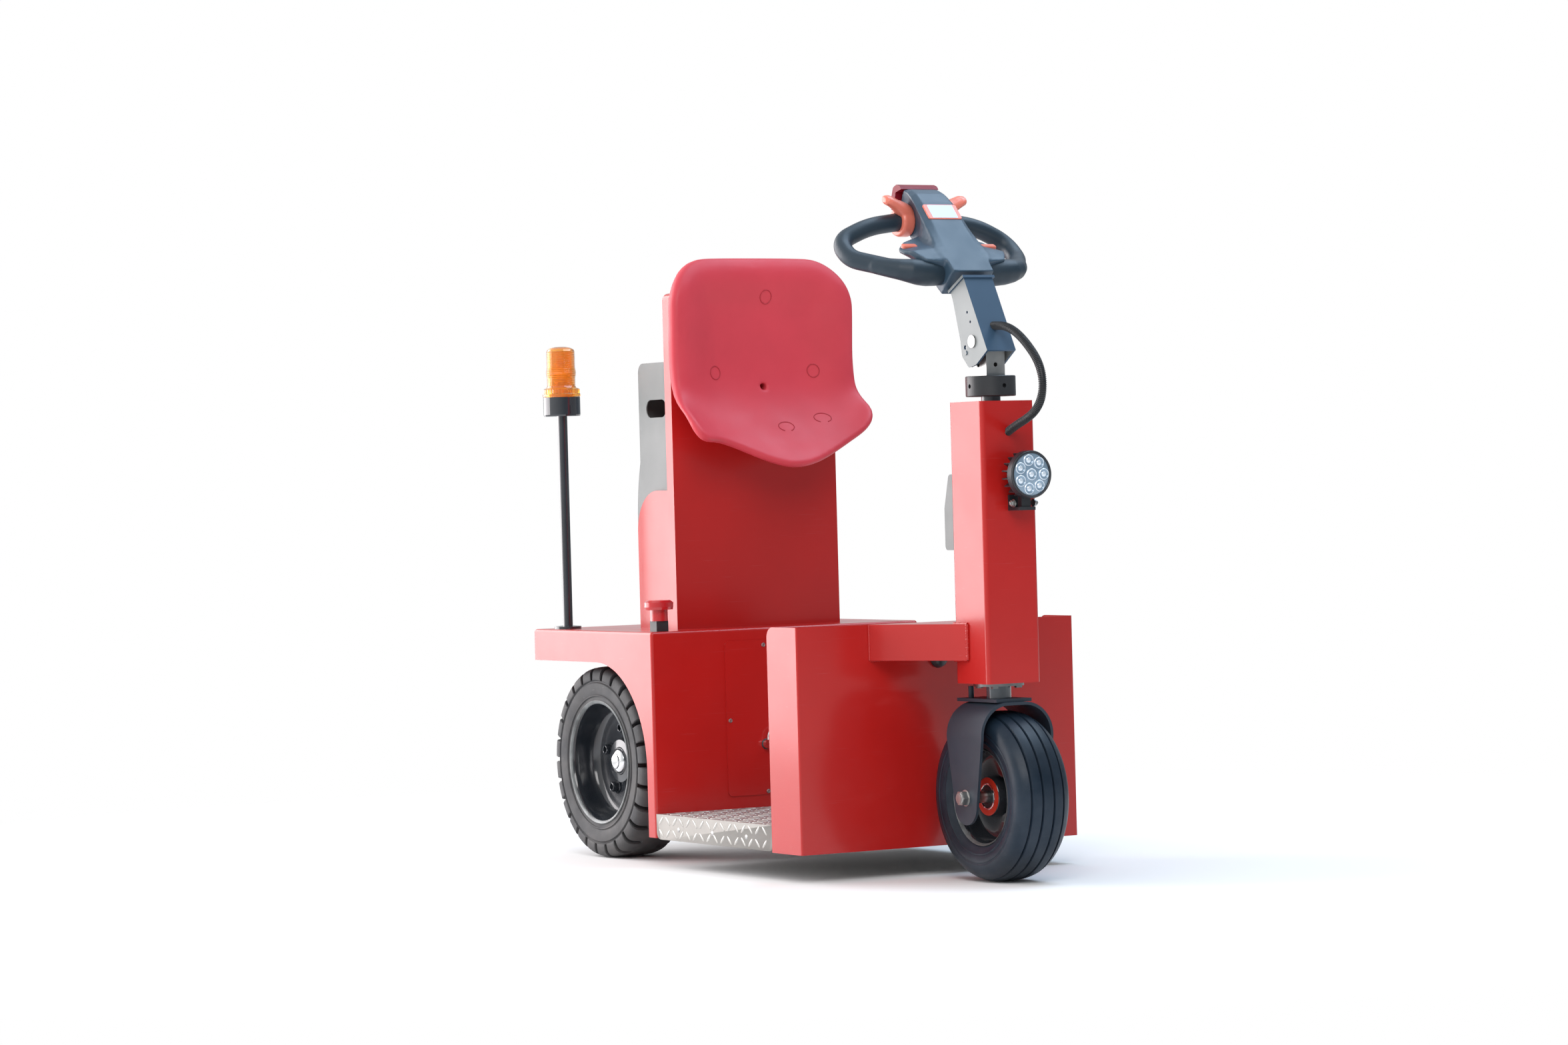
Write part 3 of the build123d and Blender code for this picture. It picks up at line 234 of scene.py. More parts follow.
# Raised bars: a lighter copy of the plate's aluminium, a painted highlight on the bars.
BAR = surface("chequer_bar", (0.56, 0.545, 0.51), 0.30, metal=0.5, grain=0.10, grain_scale=700.0, mottle=0.12,
              mottle_scale=30.0)
GREY = surface("grey_coat", (0.205, 0.215, 0.212), 0.42, spec=0.3, grain=0.05, grain_scale=800.0, mottle=0.03)
STEEL = surface("bare_steel", (0.42, 0.42, 0.41), 0.34, metal=1.0, grain=0.10, grain_scale=900.0, mottle=0.18,
                mottle_scale=30.0, scuffs=0.2)
HEAD = surface("tiller_head", (0.036, 0.072, 0.112), 0.42, spec=0.6, grain=0.22, grain_scale=1500.0,
               mottle=0.06)
GRIP = surface("tiller_grip", (0.018, 0.034, 0.050), 0.46, spec=0.45, grain=0.20, grain_scale=1500.0,
               mottle=0.08)
# Tiller arm: its side faces get a lighter grey, a painted side light.
ARM = surface("tiller_arm", (0.040, 0.082, 0.140), 0.40, spec=0.35, grain=0.06, mottle=0.08,
              painted_side_light=(0.26, 0.28, 0.28))
CAP = surface("cap_red", (0.22, 0.008, 0.022), 0.42, spec=0.3, grain=0.03, mottle=0.06)
BUTTON_RED = surface("stop_red", (0.50, 0.012, 0.016), 0.25, coat=0.6, grain=0.03, mottle=0.05)
SALMON = surface("rocker_orange", (0.80, 0.20, 0.135), 0.34, spec=0.5, coat=0.3, grain=0.05, mottle=0.06)
DISPLAY = surface("display_panel", (0.52, 0.66, 0.80), 0.22, coat=0.5, grain=0.02, mottle=0.04)
FLANGE = surface("flange_zinc", (0.20, 0.21, 0.21), 0.34, metal=0.9, grain=0.06, mottle=0.15,
                 mottle_scale=40.0)
GLOSS = surface("gloss_black", (0.018, 0.022, 0.028), 0.14, coat=1.0, coat_rough=0.05, grain=0.02,
                mottle=0.15)
PLASTIC = surface("black_plastic", (0.020, 0.022, 0.025), 0.38, grain=0.10, mottle=0.15)
RUBBER_REAR = surface("rubber_rear", (0.034, 0.036, 0.040), 0.62, spec=0.4, grain=0.30, grain_scale=520.0,
                      mottle=0.22, mottle_scale=14.0, dust=0.16, dust_top=0.7, scuffs=0.22)
RUBBER_FRONT = surface("rubber_front", (0.008, 0.018, 0.032), 0.40, spec=0.28, grain=0.14, grain_scale=520.0,
                       mottle=0.3, mottle_scale=12.0, dust=0.05, dust_top=0.4, scuffs=0.12)
RIM_BLACK = surface("rim_black", (0.012, 0.016, 0.022), 0.18, coat=0.8, coat_rough=0.08, grain=0.04,
                    mottle=0.2, dust=0.05, dust_top=0.5)
# Rolled lips of the rims: lighter grey metal.
RIM_LIP_GREY = surface("rim_lip_grey", (0.16, 0.17, 0.17), 0.42, metal=0.4, grain=0.15, mottle=0.4,
                   mottle_scale=40.0)
SEAL = surface("seal_orange", (0.62, 0.035, 0.015), 0.38, grain=0.05, mottle=0.1)
AMBER = surface("amber_lens", (1.0, 0.47, 0.06), 0.08, coat=0.6, coat_rough=0.04, mottle=0.05,
                transmission=0.8)
# Bright core of the beacon: a faint painted glow standing in for the bright waist seen in the lens.
BULB = surface("beacon_bulb", (1.0, 0.55, 0.05), 0.20, coat=0.5, mottle=0.05, glow=0.35)
POST = surface("beacon_post", (0.85, 0.28, 0.03), 0.30, mottle=0.05)
# Lamp reflector: pale blue, a painted reflection of the sky.
OPTIC_PAINTED_SKY = surface("lamp_optic", (0.26, 0.37, 0.48), 0.18, metal=0.25, coat=0.6, mottle=0.08, mottle_scale=60.0)
# Small lenses and the rims of the light cups: very pale blue, painted highlights on real lenses and rims.
LED_LENS_HIGHLIGHT = surface("lamp_led_lens_painted_highlight", (0.74, 0.83, 0.92), 0.06, metal=0.3, coat=1.0, mottle=0.03)


def paint(material, *names):
    for name in names:
        mesh = nodes[name].data
        mesh.materials.clear()
        mesh.materials.append(material)


# Ways to build a piece
def circle(sides):
    """Angles of even steps round a circle."""
    return [2 * pi * k / sides for k in range(sides)]


def rounded(half_u, half_v, radius, steps=5):
    """Outline of a rounded rectangle."""
    points = []
    for k, (su, sv) in enumerate(((1, 1), (-1, 1), (-1, -1), (1, -1))):
        for i in range(steps + 1):
            a = pi / 2 * (k + i / steps)
            points.append((su * (half_u - radius) + radius * cos(a),
                           sv * (half_v - radius) + radius * sin(a)))
    return points


class Shape:
    """Collects the faces of one piece, in millimetres."""

    def __init__(self):
        self.points, self.faces, self.slots = [], [], []

    def face(self, corners, slot=0):
        self.faces.append(tuple(corners))
        self.slots.append(slot)

    def grid(self, rows, slot=0, wrap_rows=False, slots=None):
        """Skin over rows of like points, each row a closed loop; slots gives one material a row."""
        base, n, m = len(self.points), len(rows), len(rows[0])
        for row in rows:
            self.points.extend(row)
        for i in range(n if wrap_rows else n - 1):
            here, there = base + i * m, base + (i + 1) % n * m
            for j in range(m):
                k = (j + 1) % m
                self.face((here + j, here + k, there + k, there + j), slots[i] if slots else slot)
        return base

    def closed(self, rows, slot=0, slots=None):
        """Grid with a face over each end."""
        base, m = self.grid(rows, slot, slots=slots), len(rows[0])
        last = base + (len(rows) - 1) * m
        self.face(range(base, base + m), slots[0] if slots else slot)
        self.face(range(last, last + m), slots[-1] if slots else slot)

    def lathe(self, profile, at, axis, sides, slot=0, slots=None, ring=False):
        """Turned form: profile rows are (radius, distance along the axis); a ring is open in its middle."""
        axis = Vector(axis).normalized()
        u = Z if abs(axis.z) < 0.9 else X
        u = (u - axis * u.dot(axis)).normalized()
        w, at = axis.cross(u), Vector(at)
        rows = [[at + axis * h + (u * cos(a) + w * sin(a)) * max(r, 0.05) for a in circle(sides)]
                for r, h in profile]
        if ring:
            self.grid(rows, slot, wrap_rows=True, slots=slots)
        else:
            self.closed(rows, slot, slots)

    def tube(self, route, radius, sides):
        """Round bar along a route of points; radius is one number or one a point."""
        route = [Vector(p) for p in route]
        rows, side = [], None
        for k, p in enumerate(route):
            along = (route[min(k + 1, len(route) - 1)] - route[max(k - 1, 0)]).normalized()
            side = along.orthogonal() if side is None else side - along * side.dot(along)
            side = side.normalized()
            up = along.cross(side)
            r = radius if isinstance(radius, float) else radius[k]
            rows.append([p + (side * cos(a) + up * sin(a)) * r for a in circle(sides)])
        self.closed(rows)

    def plate(self, outline, at, u, v, depth, bevel, slot=0):
        """Flat piece: outline in (u, v), raised by depth along u x v, with a bevelled upper edge."""
        at, u, v = Vector(at), Vector(u).normalized(), Vector(v).normalized()
        w = u.cross(v)
        following = outline[1:] + outline[:1]
        twice_area = sum(p[0] * q[1] - q[0] * p[1] for p, q in zip(outline, following))
        sign = 1.0 if twice_area > 0 else -1.0
        inner = []
        for k, (corner, after) in enumerate(zip(outline, following)):
            corner, a = Vector(corner), (Vector(corner) - Vector(outline[k - 1])).normalized()
            b = (Vector(after) - corner).normalized()
            in_a, in_b = Vector((-a.y, a.x)) * sign, Vector((-b.y, b.x)) * sign
            inward = in_a + in_b
            inner.append(corner + inward * (bevel / max(0.3, inward.dot(in_a))))
        levels = ((outline, 0.0), (outline, depth - bevel), (inner, depth))
        rows = [[at + u * p[0] + v * p[1] + w * height for p in points] for points, height in levels]
        self.closed(rows, slot)

    def hexagon(self, at, axis, across, low, high):
        """Nut or bolt head with chamfered corners."""
        r, c = across / 3 ** 0.5, across * 0.06
        step = c if high > low else -c
        self.lathe([(r * 0.92, low), (r, low + step), (r, high - step), (r * 0.90, high)], at, axis, 6)

    def screw(self, at, axis, radius, height):
        """Domed head with a socket."""
        shares = ((0.82, 0.85), (0.5, 1.0), (0.42, 1.0), (0.38, 0.45), (0, 0.4))
        head = [(radius, -0.5), (radius, height * 0.4)] + [(radius * r, height * h) for r, h in shares]
        self.lathe(head, at, axis, 20)

    def mesh(self, name):
        mesh = bpy.data.meshes.new(name)
        mesh.from_pydata([tuple(Vector(p) * MM) for p in self.points], [], self.faces)
        return mesh

    def make(self, name, body, materials, slot, replaces=(), angle=38.0):
        return finish_mesh(self.mesh(name), name, body, materials, replaces, angle, self.slots)


def finish_mesh(mesh, name, body, materials, replaces=(), angle=38.0, slots=None):
    """Piece from a mesh: clean faces, smooth up to that angle; its body, the material of each face and
    replaced nodes.
    """
    for material in materials:
        mesh.materials.append(material)
    if slots:
        mesh.polygons.foreach_set("material_index", slots)
    work = bmesh.new()
    work.from_mesh(mesh)
    bmesh.ops.remove_doubles(work, verts=work.verts, dist=1e-6)
    bmesh.ops.recalc_face_normals(work, faces=work.faces)
    work.to_mesh(mesh)
    work.free()
    mesh.polygons.foreach_set("use_smooth", [True] * len(mesh.polygons))
    mesh.set_sharp_from_angle(angle=radians(angle))
    piece = bpy.data.objects.new(name, mesh)
    bpy.context.scene.collection.objects.link(piece)
    if body:
        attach(piece, body)
    if replaces:
        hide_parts(*replaces)
    return piece


def moulded(name, node, body, material, voxel, rounds, own=None, with_cad=True, change=None):
    """Moulding with soft edges, from the CAD node, an own shape or both; change moves its points first."""
    form = bmesh.new()
    if with_cad:
        form.from_mesh(nodes[node].data)
    if own:
        added = own.mesh(name + "_added")
        form.from_mesh(added)
        bpy.data.meshes.remove(added)
    bmesh.ops.remove_doubles(form, verts=form.verts, dist=1e-6)
    bmesh.ops.recalc_face_normals(form, faces=form.faces)
    if change:
        for vertex in form.verts:
            vertex.co = change(vertex.co / MM) * MM
    mesh = bpy.data.meshes.new(name + "_work")
    form.to_mesh(mesh)
    form.free()
    work = bpy.data.objects.new(name + "_work", mesh)
    bpy.context.scene.collection.objects.link(work)
    remesh = work.modifiers.new("remesh", "REMESH")
    remesh.mode = "VOXEL"
    remesh.voxel_size = voxel * MM
    soften = work.modifiers.new("soften", "SMOOTH")
    soften.factor = 0.5
    soften.iterations = rounds
    graph = bpy.context.evaluated_depsgraph_get()
    result = bpy.data.meshes.new_from_object(work.evaluated_get(graph), depsgraph=graph)
    bpy.data.objects.remove(work)
    bpy.data.meshes.remove(mesh)
    result.name = name
    return finish_mesh(result, name, body, [material], (node,), 80.0)


# Conduit
def conduit_path():
    """Points along the route's smooth curve, in metres."""
    curve = bpy.data.curves.new("conduit_route", "CURVE")
    curve.dimensions = "3D"
    curve.resolution_u = 40
    spline = curve.splines.new("NURBS")
    spline.points.add(len(CONDUIT_ROUTE) - 1)
    for point, place in zip(spline.points, CONDUIT_ROUTE):
        point.co = (*place, 1)
    spline.order_u = 3
    spline.use_endpoint_u = True
    route = bpy.data.objects.new("conduit_route", curve)
    bpy.context.scene.collection.objects.link(route)
    graph = bpy.context.evaluated_depsgraph_get()
    line = bpy.data.meshes.new_from_object(route.evaluated_get(graph), depsgraph=graph)
    path = [vertex.co.copy() for vertex in line.vertices]
    bpy.data.objects.remove(route)
    bpy.data.meshes.remove(line)
    return path


def make_conduit():
    """Corrugated sleeve along its route, with a rib and a groove in each pitch."""
    path = conduit_path()
    lengths = [0.0]
    for a, b in zip(path, path[1:]):
        lengths.append(lengths[-1] + (b - a).length)
    steps = int(lengths[-1] / MM / CONDUIT_PITCH) * len(CONDUIT_GROOVE)
    places, radii, k = [], [], 0
    for i in range(steps + 1):
        s = lengths[-1] * i / steps
        while k < len(path) - 2 and lengths[k + 1] < s:
            k += 1
        t = (s - lengths[k]) / (lengths[k + 1] - lengths[k])
        places.append((path[k] + (path[k + 1] - path[k]) * t) / MM)
        radii.append(CONDUIT_R - CONDUIT_GROOVE[i % len(CONDUIT_GROOVE)])
    tube = Shape()
    tube.tube(places, radii, 24)
    piece = tube.make("conduit_sleeve", None, [PLASTIC], "black_plastic", (), 20.0)
    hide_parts("conduit")
    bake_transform(piece)


# Rear tyres. The crown's rows are (distance from the middle, drop below the tread's radius), the wall's rows
# (distance from the middle, radius). Notches part the blocks of each shoulder, staggered by half a pitch.
REAR_CROWN = ((0, 0.3), (8, 0.3), (16, 0.3), (21, 0.3), (23.5, 0.3), (27, 0.4), (34, 0.7), (42, 1.6),
              (47, 3.0), (51, 6.0), (53.8, 10), (55.2, 15), (55.8, 21.0), (55.9, 25.5))
REAR_WALL = [(55.6, 162.6), (54.0, 161.8), (52.8, 160.5), (53.2, 158.6), (55.0, 157.4), (55.8, 156.4),
             (55.6, 150), (54.9, 142), (53.9, 136), (53.4, 134), (54.8, 133.2), (55.6, 131.8), (54.9, 130.4),
             (53.0, 129.6), (52.6, 124), (53.2, 119.8), (51.0, 118.4)]
LUGS = 26
NOTCH_FLOOR, NOTCH_WALL, NOTCH_EDGE = 0.088, 0.112, 0.135
BLOCK_STEPS = (-0.5, -0.4, -0.3, -0.2, -NOTCH_EDGE, -NOTCH_WALL, -NOTCH_FLOOR, 0.0, NOTCH_FLOOR, NOTCH_WALL,
               NOTCH_EDGE, 0.2, 0.3, 0.4)
NOTCH_ROWS = range(4, len(REAR_CROWN))
NOTCH_START, NOTCH_RAMP = 22.0, 4.5
NOTCH_R, NOTCH_RISE, NOTCH_SLOPE = 161.0, 4.0, 12.0
SHOULDER_ROW, SHOULDER_ROWS, SHOULDER_Y, SHOULDER_REACH = 7, 7.0, 46.0, 8.0


def notch_depth(phase):
    """Share of the full depth at that distance from a notch's middle, in pitches."""
    if phase <= NOTCH_FLOOR + 1e-4:
        return 1.0
    if phase <= NOTCH_WALL + 1e-4:
        return 0.16
    return 0.035 if phase <= NOTCH_EDGE - 1e-4 else 0.0


def notched(k, y, r, depth):
    """Row k of the crown where a notch has that share of its depth."""
    reach = min(1.0, max(0.0, (y - NOTCH_START) / NOTCH_RAMP))
    floor_r = NOTCH_R + NOTCH_RISE * (1.0 - min(1.0, (y - NOTCH_START) / NOTCH_SLOPE))
    floor_y = y if y < SHOULDER_Y else SHOULDER_Y + (k - SHOULDER_ROW) / SHOULDER_ROWS * SHOULDER_REACH
    return y + (min(y, floor_y) - y) * depth, r + (min(r, floor_r) - r) * depth * reach


def rear_tyre(side, name, node, body):
    """Solid tyre: staggered shoulder blocks, ring groove in the wall, raised bead ring."""
    half = [(y, REAR_R - drop) for y, drop in REAR_CROWN] + REAR_WALL
    turns = sorted({round((k + stagger + s) / LUGS, 7) % 1.0
                    for k in range(LUGS) for stagger in (0.0, 0.5) for s in BLOCK_STEPS})
    rows = []
    for t in turns:
        row = []
        for s, stagger in ((-1, 0.0), (1, 0.5)):
            depth = notch_depth(abs((t * LUGS + stagger + 0.5) % 1.0 - 0.5))
            points = [notched(k, y, r, depth) if k in NOTCH_ROWS else (y, r) for k, (y, r) in enumerate(half)]
            points = [(s * y, r) for y, r in points]
            row += points[::-1] if s < 0 else points[1:]
        a = 2 * pi * t
        rows.append([Vector((REAR_X + r * cos(a), side * REAR_Y + y, REAR_R + r * sin(a))) for y, r in row])
    shape = Shape()
    shape.grid(rows, wrap_rows=True)
    shape.make(name, body, [RUBBER_REAR], "rubber", (node,), 32.0)


# Front tyre: middles of its grooves; a groove's floor and rounded edge, each with its half width and depth;
# steps across a groove and across the crown; radius and half width where the crown's curve ends
FRONT_GROOVES = (-34.0, -12.0, 12.0, 34.0)
GROOVE_FLOOR, GROOVE_DEPTH = 1.5, 5.5
GROOVE_EDGE, EDGE_DEPTH = 2.2, 0.9
GROOVE_STEPS = (1.2, 1.9, 2.6)
CROWN_STEPS = (0.0, 5.0, 19.0, 25.0, 44.0, 48.0, 52.0)
CROWN_END_R, CROWN_END_Y, CROWN_POWER = 133.6, 57.0, 3.5


def front_tyre():
    """Solid tyre: round crown with four grooves, ringed walls."""
    steps = {s * y for s in BOTH_SIDES for y in CROWN_STEPS}
    steps |= {groove + s * d for groove in FRONT_GROOVES for s in BOTH_SIDES for d in GROOVE_STEPS}
    crown = []
    for y in sorted(steps):
        top = FRONT_R - (FRONT_R - CROWN_END_R) * abs(y / CROWN_END_Y) ** CROWN_POWER
        near = min(abs(y - groove) for groove in FRONT_GROOVES)
        depth = GROOVE_DEPTH if near < GROOVE_FLOOR else EDGE_DEPTH if near < GROOVE_EDGE else 0.0
        crown.append((top - depth, y))
    wall = [(132.0, 54.6), (127.0, 55.6), (122.5, 55.8), (121.0, 54.9), (119.5, 54.9), (118.0, 55.8),
            (112.0, 55.4), (106.0, 53.6), (104.4, 54.6), (102.4, 54.4), (101.0, 52.6), (96.0, 50.4),
            (93.0, 48.6), (91.0, 47.4), (89.3, 45.0)]
    shape = Shape()
    shape.lathe([(r, -y) for r, y in wall[::-1]] + crown + wall, (FRONT_X, 0, FRONT_R), Y, 160, ring=True)
    shape.make("front_tyre_tread", "front_wheel", [RUBBER_FRONT], "rubber", ("front_tyre",), 32.0)


# Rims; their profiles are (radius, distance from the machine's middle)
NUT_COUNT, NUT_CIRCLE = 5, 66.0


def mirrored(profile, side):
    return [(r, side * y) for r, y in profile]


def rear_rim(side, name, node, body):
    """Deep dish with rolled lip, hub flange, five tubular nuts and a domed cap."""
    back = [(24, 157), (40, 156.5), (42, 160), (42, 185), (60, 187), (98, 191), (104, 192), (104, 160),
            (110, 158), (117.9, 158), (117.9, 164), (117.0, 200)]
    lip = [(117.9, 252), (119.3, 257), (121.4, 260), (122.6, 262), (121.2, 263.2), (118.0, 262.4)]
    dish = [(115.6, 259.6), (113.6, 255), (112.6, 246), (111.8, 226), (109, 212), (104, 206), (98, 203.4),
            (88, 202.6), (86.5, 201.8), (52, 199.6), (47, 200.8), (44.5, 204), (44, 212), (42, 214.4),
            (28, 215.4), (26.4, 217)]
    cap = [(25.0, 214), (25.2, 217.5), (24.4, 220), (21.5, 222.6), (17.0, 224.4), (15.6, 224.8),
           (15.2, 226.8), (13.4, 228.2), (9.0, 228.8), (4.0, 229.0), (0, 229.0)]
    washer = [(13.5, 198), (13.5, 202.4), (12.6, 203.4), (8, 203.4)]
    nut = [(10.2, 203), (10.4, 208), (9.6, 212), (8.6, 214.6), (7.4, 215.2), (6.2, 214.6), (5.8, 212),
           (5.6, 204)]
    shape = Shape()
    at = (REAR_X, 0, REAR_R)
    slots = [0] * len(back) + [1] * len(lip) + [0] * len(dish)
    shape.lathe(mirrored(back + lip + dish, side), at, Y, 144, slots=slots)
    shape.lathe(mirrored(cap, side), at, Y, 72, slot=2)
    for k in range(NUT_COUNT):
        a = radians(90 + 360 / NUT_COUNT * k)
        place = (REAR_X + NUT_CIRCLE * cos(a), 0, REAR_R + NUT_CIRCLE * sin(a))
        shape.lathe(mirrored(washer, side), place, Y, 32)
        shape.lathe(mirrored(nut, side), place, Y, 32)
    shape.make(name, body, [RIM_BLACK, RIM_LIP_GREY, CHROME], "black_steel", (node,), 36.0)


def front_rim():
    """Dished disc with a rolled lip, bearing housing, orange seal and chromed ring."""
    disc = [(35.0, 29.6), (36.2, 28.0), (37.0, 6.5), (40, 5.0), (70, 4.6), (76, 7), (78.5, 12), (79.6, 30),
            (81.0, 37.0), (84.0, 41.4)]
    lip = [(86.4, 45.2), (88.2, 47.0), (89.0, 45.2)]
    well = [(89.0, 40.0)]
    bore = [(15, -29.6), (15, 29.6)]
    half = disc + lip + well
    seal = [(34.6, 29.4), (34.4, 30.6), (32.5, 31.2), (24.2, 31.0), (23.8, 29.4)]
    ring = [(24.0, 29.4), (24.0, 31.6), (23.2, 32.2), (21.6, 32.2), (20.9, 31.4), (20.8, 29.6)]
    cover = [(20.6, 29.4), (20.6, 30.4), (16.0, 30.4), (12.6, 30.2)]
    shape = Shape()
    at = (FRONT_X, 0, FRONT_R)
    rows = half + mirrored(half[::-1], -1) + bore
    slots = [0] * len(disc) + [1] * len(lip) + [0] * 2 * len(well) + [1] * len(lip)
    slots += [0] * (len(rows) - len(slots))
    shape.lathe(rows, at, Y, 112, slots=slots, ring=True)
    for s in BOTH_SIDES:
        shape.lathe(mirrored(seal, s), at, Y, 72, slot=2)
        shape.lathe(mirrored(ring, s), at, Y, 72, slot=3)
        shape.lathe(mirrored(cover, s), at, Y, 64, slot=4)
    shape.make("front_rim_disc", "front_wheel", [RIM_BLACK, RIM_LIP_GREY, SEAL, CHROME, PLASTIC], "black_steel",
               ("front_rim",), 36.0)


def axle_ends():
    """Nylon ring and stud end of each lock nut on the front axle."""
    shape = Shape()
    at = (FRONT_X, 0, FRONT_R)
    for s in BOTH_SIDES:
        shape.lathe(mirrored([(11.4, 89.4), (11.2, 91.2), (10.0, 92.2), (8.6, 92.2)], s), at, Y, 40)
        shape.lathe(mirrored([(15.0, 76.6), (15.0, 78.4), (12.0, 78.6)], s), at, Y, 48)
    shape.make("axle_rings", "steering", [ZINC], "bright_steel")


# Lamp and beacon
def lamp_optics():
    """Reflector, bezel and the light cells, one in the middle and a ring of them round it."""
    shape = Shape()
    # The reflector disc carries the painted sky reflection.
    shape.lathe([(38.2, 662.5), (38.2, 667.4), (37.4, 667.8), (0, 667.8)], LAMP_AT, X, 96, slot=0)
    spots = [(0.0, 0.0)]
    for k in range(LED_COUNT):
        a = 2 * pi * (k + 0.25) / LED_COUNT + pi / 2
        spots.append((LED_CIRCLE * cos(a), LED_CIRCLE * sin(a)))
    cup = [(LED_R, 667), (LED_R, 669.6), (LED_R - 0.8, 670.3), (LED_R - 1.7, 670.0), (LED_R - 3.4, 668.6),
           (LED_R - 4.4, 668.2)]
    for y, z in spots:
        at = LAMP_AT + Vector((0, y, z))
        # The cups' rims take the painted highlight.
        shape.lathe(cup, at, X, 36, slots=[1, 1, 1, 0, 0, 0])
        shape.lathe([(5.2, 667.6), (5.0, 669.2), (3.8, 670.2), (1.8, 670.7), (0, 670.8)], at, X, 24, slot=1)
    bezel = [(37.8, 664), (38.2, 669.6), (39.4, 670.6), (41.4, 670.2), (42.4, 668.4), (42.6, 664)]
    shape.lathe(bezel, LAMP_AT, X, 96, slot=2)
    shape.make("lamp_optics", "chassis", [OPTIC_PAINTED_SKY, LED_LENS_HIGHLIGHT, LAMP_BLACK], "clear_lens", ("lamp_lens",), 30.0)


def lamp_bolts():
    """Washer, hexagon head and stud end at each side of the lamp's bracket."""
    shape = Shape()
    for s in BOTH_SIDES:
        shape.lathe(mirrored([(7.2, 20.6), (7.2, 22.0), (4.6, 22.0)], s), LAMP_BOLT, Y, 32)
        shape.hexagon(LAMP_BOLT, Y, 10.0, s * 22.0, s * 27.6)
        shape.lathe(mirrored([(3.0, 27.2), (3.0, 29.8), (2.2, 30.4), (0, 30.4)], s), LAMP_BOLT, Y, 20)
    shape.make("lamp_bolts", "chassis", [ZINC], "bright_steel")


def beacon():
    """Ribbed amber dome on a knurled foot, with the bulb on its post inside."""
    foot = [(36.5, 915.2), (37.8, 916.5), (37.8, 921), (36.6, 922.2), (36.6, 930.5), (34.0, 932.4),
            (30.2, 933.6), (29.0, 936)]
    crown = [(26.0, 1010.5), (20.0, 1013.8), (11.0, 1015.6), (0.05, 1016)]
    inside = [(0.05, 1013.0), (18.0, 1011.5), (25.4, 1006), (26.0, 940), (26.0, 915.2)]
    rib_low, rib_top, rib_pitch, knurls, knurl_depth, sides = 938.0, 1008.0, 3.5, 36, 0.9, 144
    ribs, z = [], rib_low
    while z < rib_top:
        r = 27.6 + 1.6 * max(0.0, 1.0 - ((z - 962.0) / 9.0) ** 2)
        ribs += [(r, z), (r + 1.0, z + 1.2), (r + 1.0, z + 2.0), (r, z + 3.1)]
        z += rib_pitch
    rows = []
    for r, z in foot + ribs + crown + inside:
        knurl = knurl_depth if 922 < z < 931 else 0.0
        rows.append([BEACON_AT + Z * z
                     + Vector((cos(a), sin(a), 0)) * (r - knurl * (0.5 + 0.5 * cos(knurls * a)))
                     for a in circle(sides)])
    dome = Shape()
    dome.grid(rows, wrap_rows=True)
    dome.make("beacon_dome", "chassis", [AMBER], "amber_lens", ("beacon_lens",), 30.0)
    post = [(22, 914.5), (22, 922), (16, 930), (11, 936), (9.5, 946), (9.5, 992), (7, 998), (0, 999)]
    inner = Shape()
    inner.lathe(post, BEACON_AT, Z, 40, slot=0)
    # The bright core, with its faint painted glow.
    inner.lathe([(9.6, 952), (17, 955), (19, 962), (17, 969), (9.6, 972)], BEACON_AT, Z, 40, slot=1)
    inner.make("beacon_inside", "chassis", [POST, BULB], "amber_lens")


# Tiller head. Its face is a plane with its own directions; FACE_AT is the foot of the face.
FACE_AT = Vector((516.7, 0, 1107.2))
FACE_UP = Vector((-0.665, 0, 0.747))
FACE_OUT = Vector((0.747, 0, 0.665))
WING_UP = (-0.928, 0, 0.371)
DISPLAY_UP = 152.0
BUTTON_X, BUTTON_Y, BUTTON_Z = 433.0, 85.8, 1151.0
UPPER_BAR = (342, 0, 1207)

# Up the face; height of its middle; then (half width, height) of the crease, its foot, wing, side, underside
HEAD_SECTIONS = (
    (0, 0, (43, 0), (45, -4), (45.5, -12), (45, -24), (42, -62)),
    (24, 0, (44, 0), (46, -4), (46.5, -12), (46, -24), (43, -64)),
    (28, 0, (45, 0), (50, -2), (62, -4), (64, -16), (44, -60)),
    (33, 0, (46, 0), (55, -2), (85, -5), (87, -14), (60, -46)),
    (48, 0, (49, -1), (58, -3), (94, -8), (96, -18), (64, -46)),
    (62, 0, (50, -3), (58, -6), (99, -12), (101, -22), (66, -48)),
    (74, 0, (49.5, -4), (56, -12), (103, -22), (105, -32), (66, -52)),
    (86, 0, (48.5, -5), (54, -20), (104, -31), (105, -40), (64, -56)),
    (98, 0, (47.5, -6), (52, -27), (98, -35), (99, -44), (58, -60)),
    (110, 0, (46.5, -7), (50, -32), (86, -37), (87, -46), (48, -64)),
    (119, 0, (46, -8), (47, -35), (66, -38), (67, -48), (40, -68)),
    (128, 0, (46, -8), (43, -28), (44, -38), (42, -50), (34, -72)),
    (150, 0, (45, -9), (38, -24), (33, -34), (29, -50), (28, -78)),
    (178, 0, (44, -10), (36, -24), (31, -34), (28, -50), (27.5, -82)),
    (205, -5, (41, -14), (34, -28), (30, -38), (28, -52), (27.5, -84)),
    (222, -12, (38, -19), (33, -32), (30, -42), (28, -54), (27.5, -84)),
    (236, -24, (35.5, -27), (33, -38), (31, -46), (28.5, -56), (27.5, -80)))

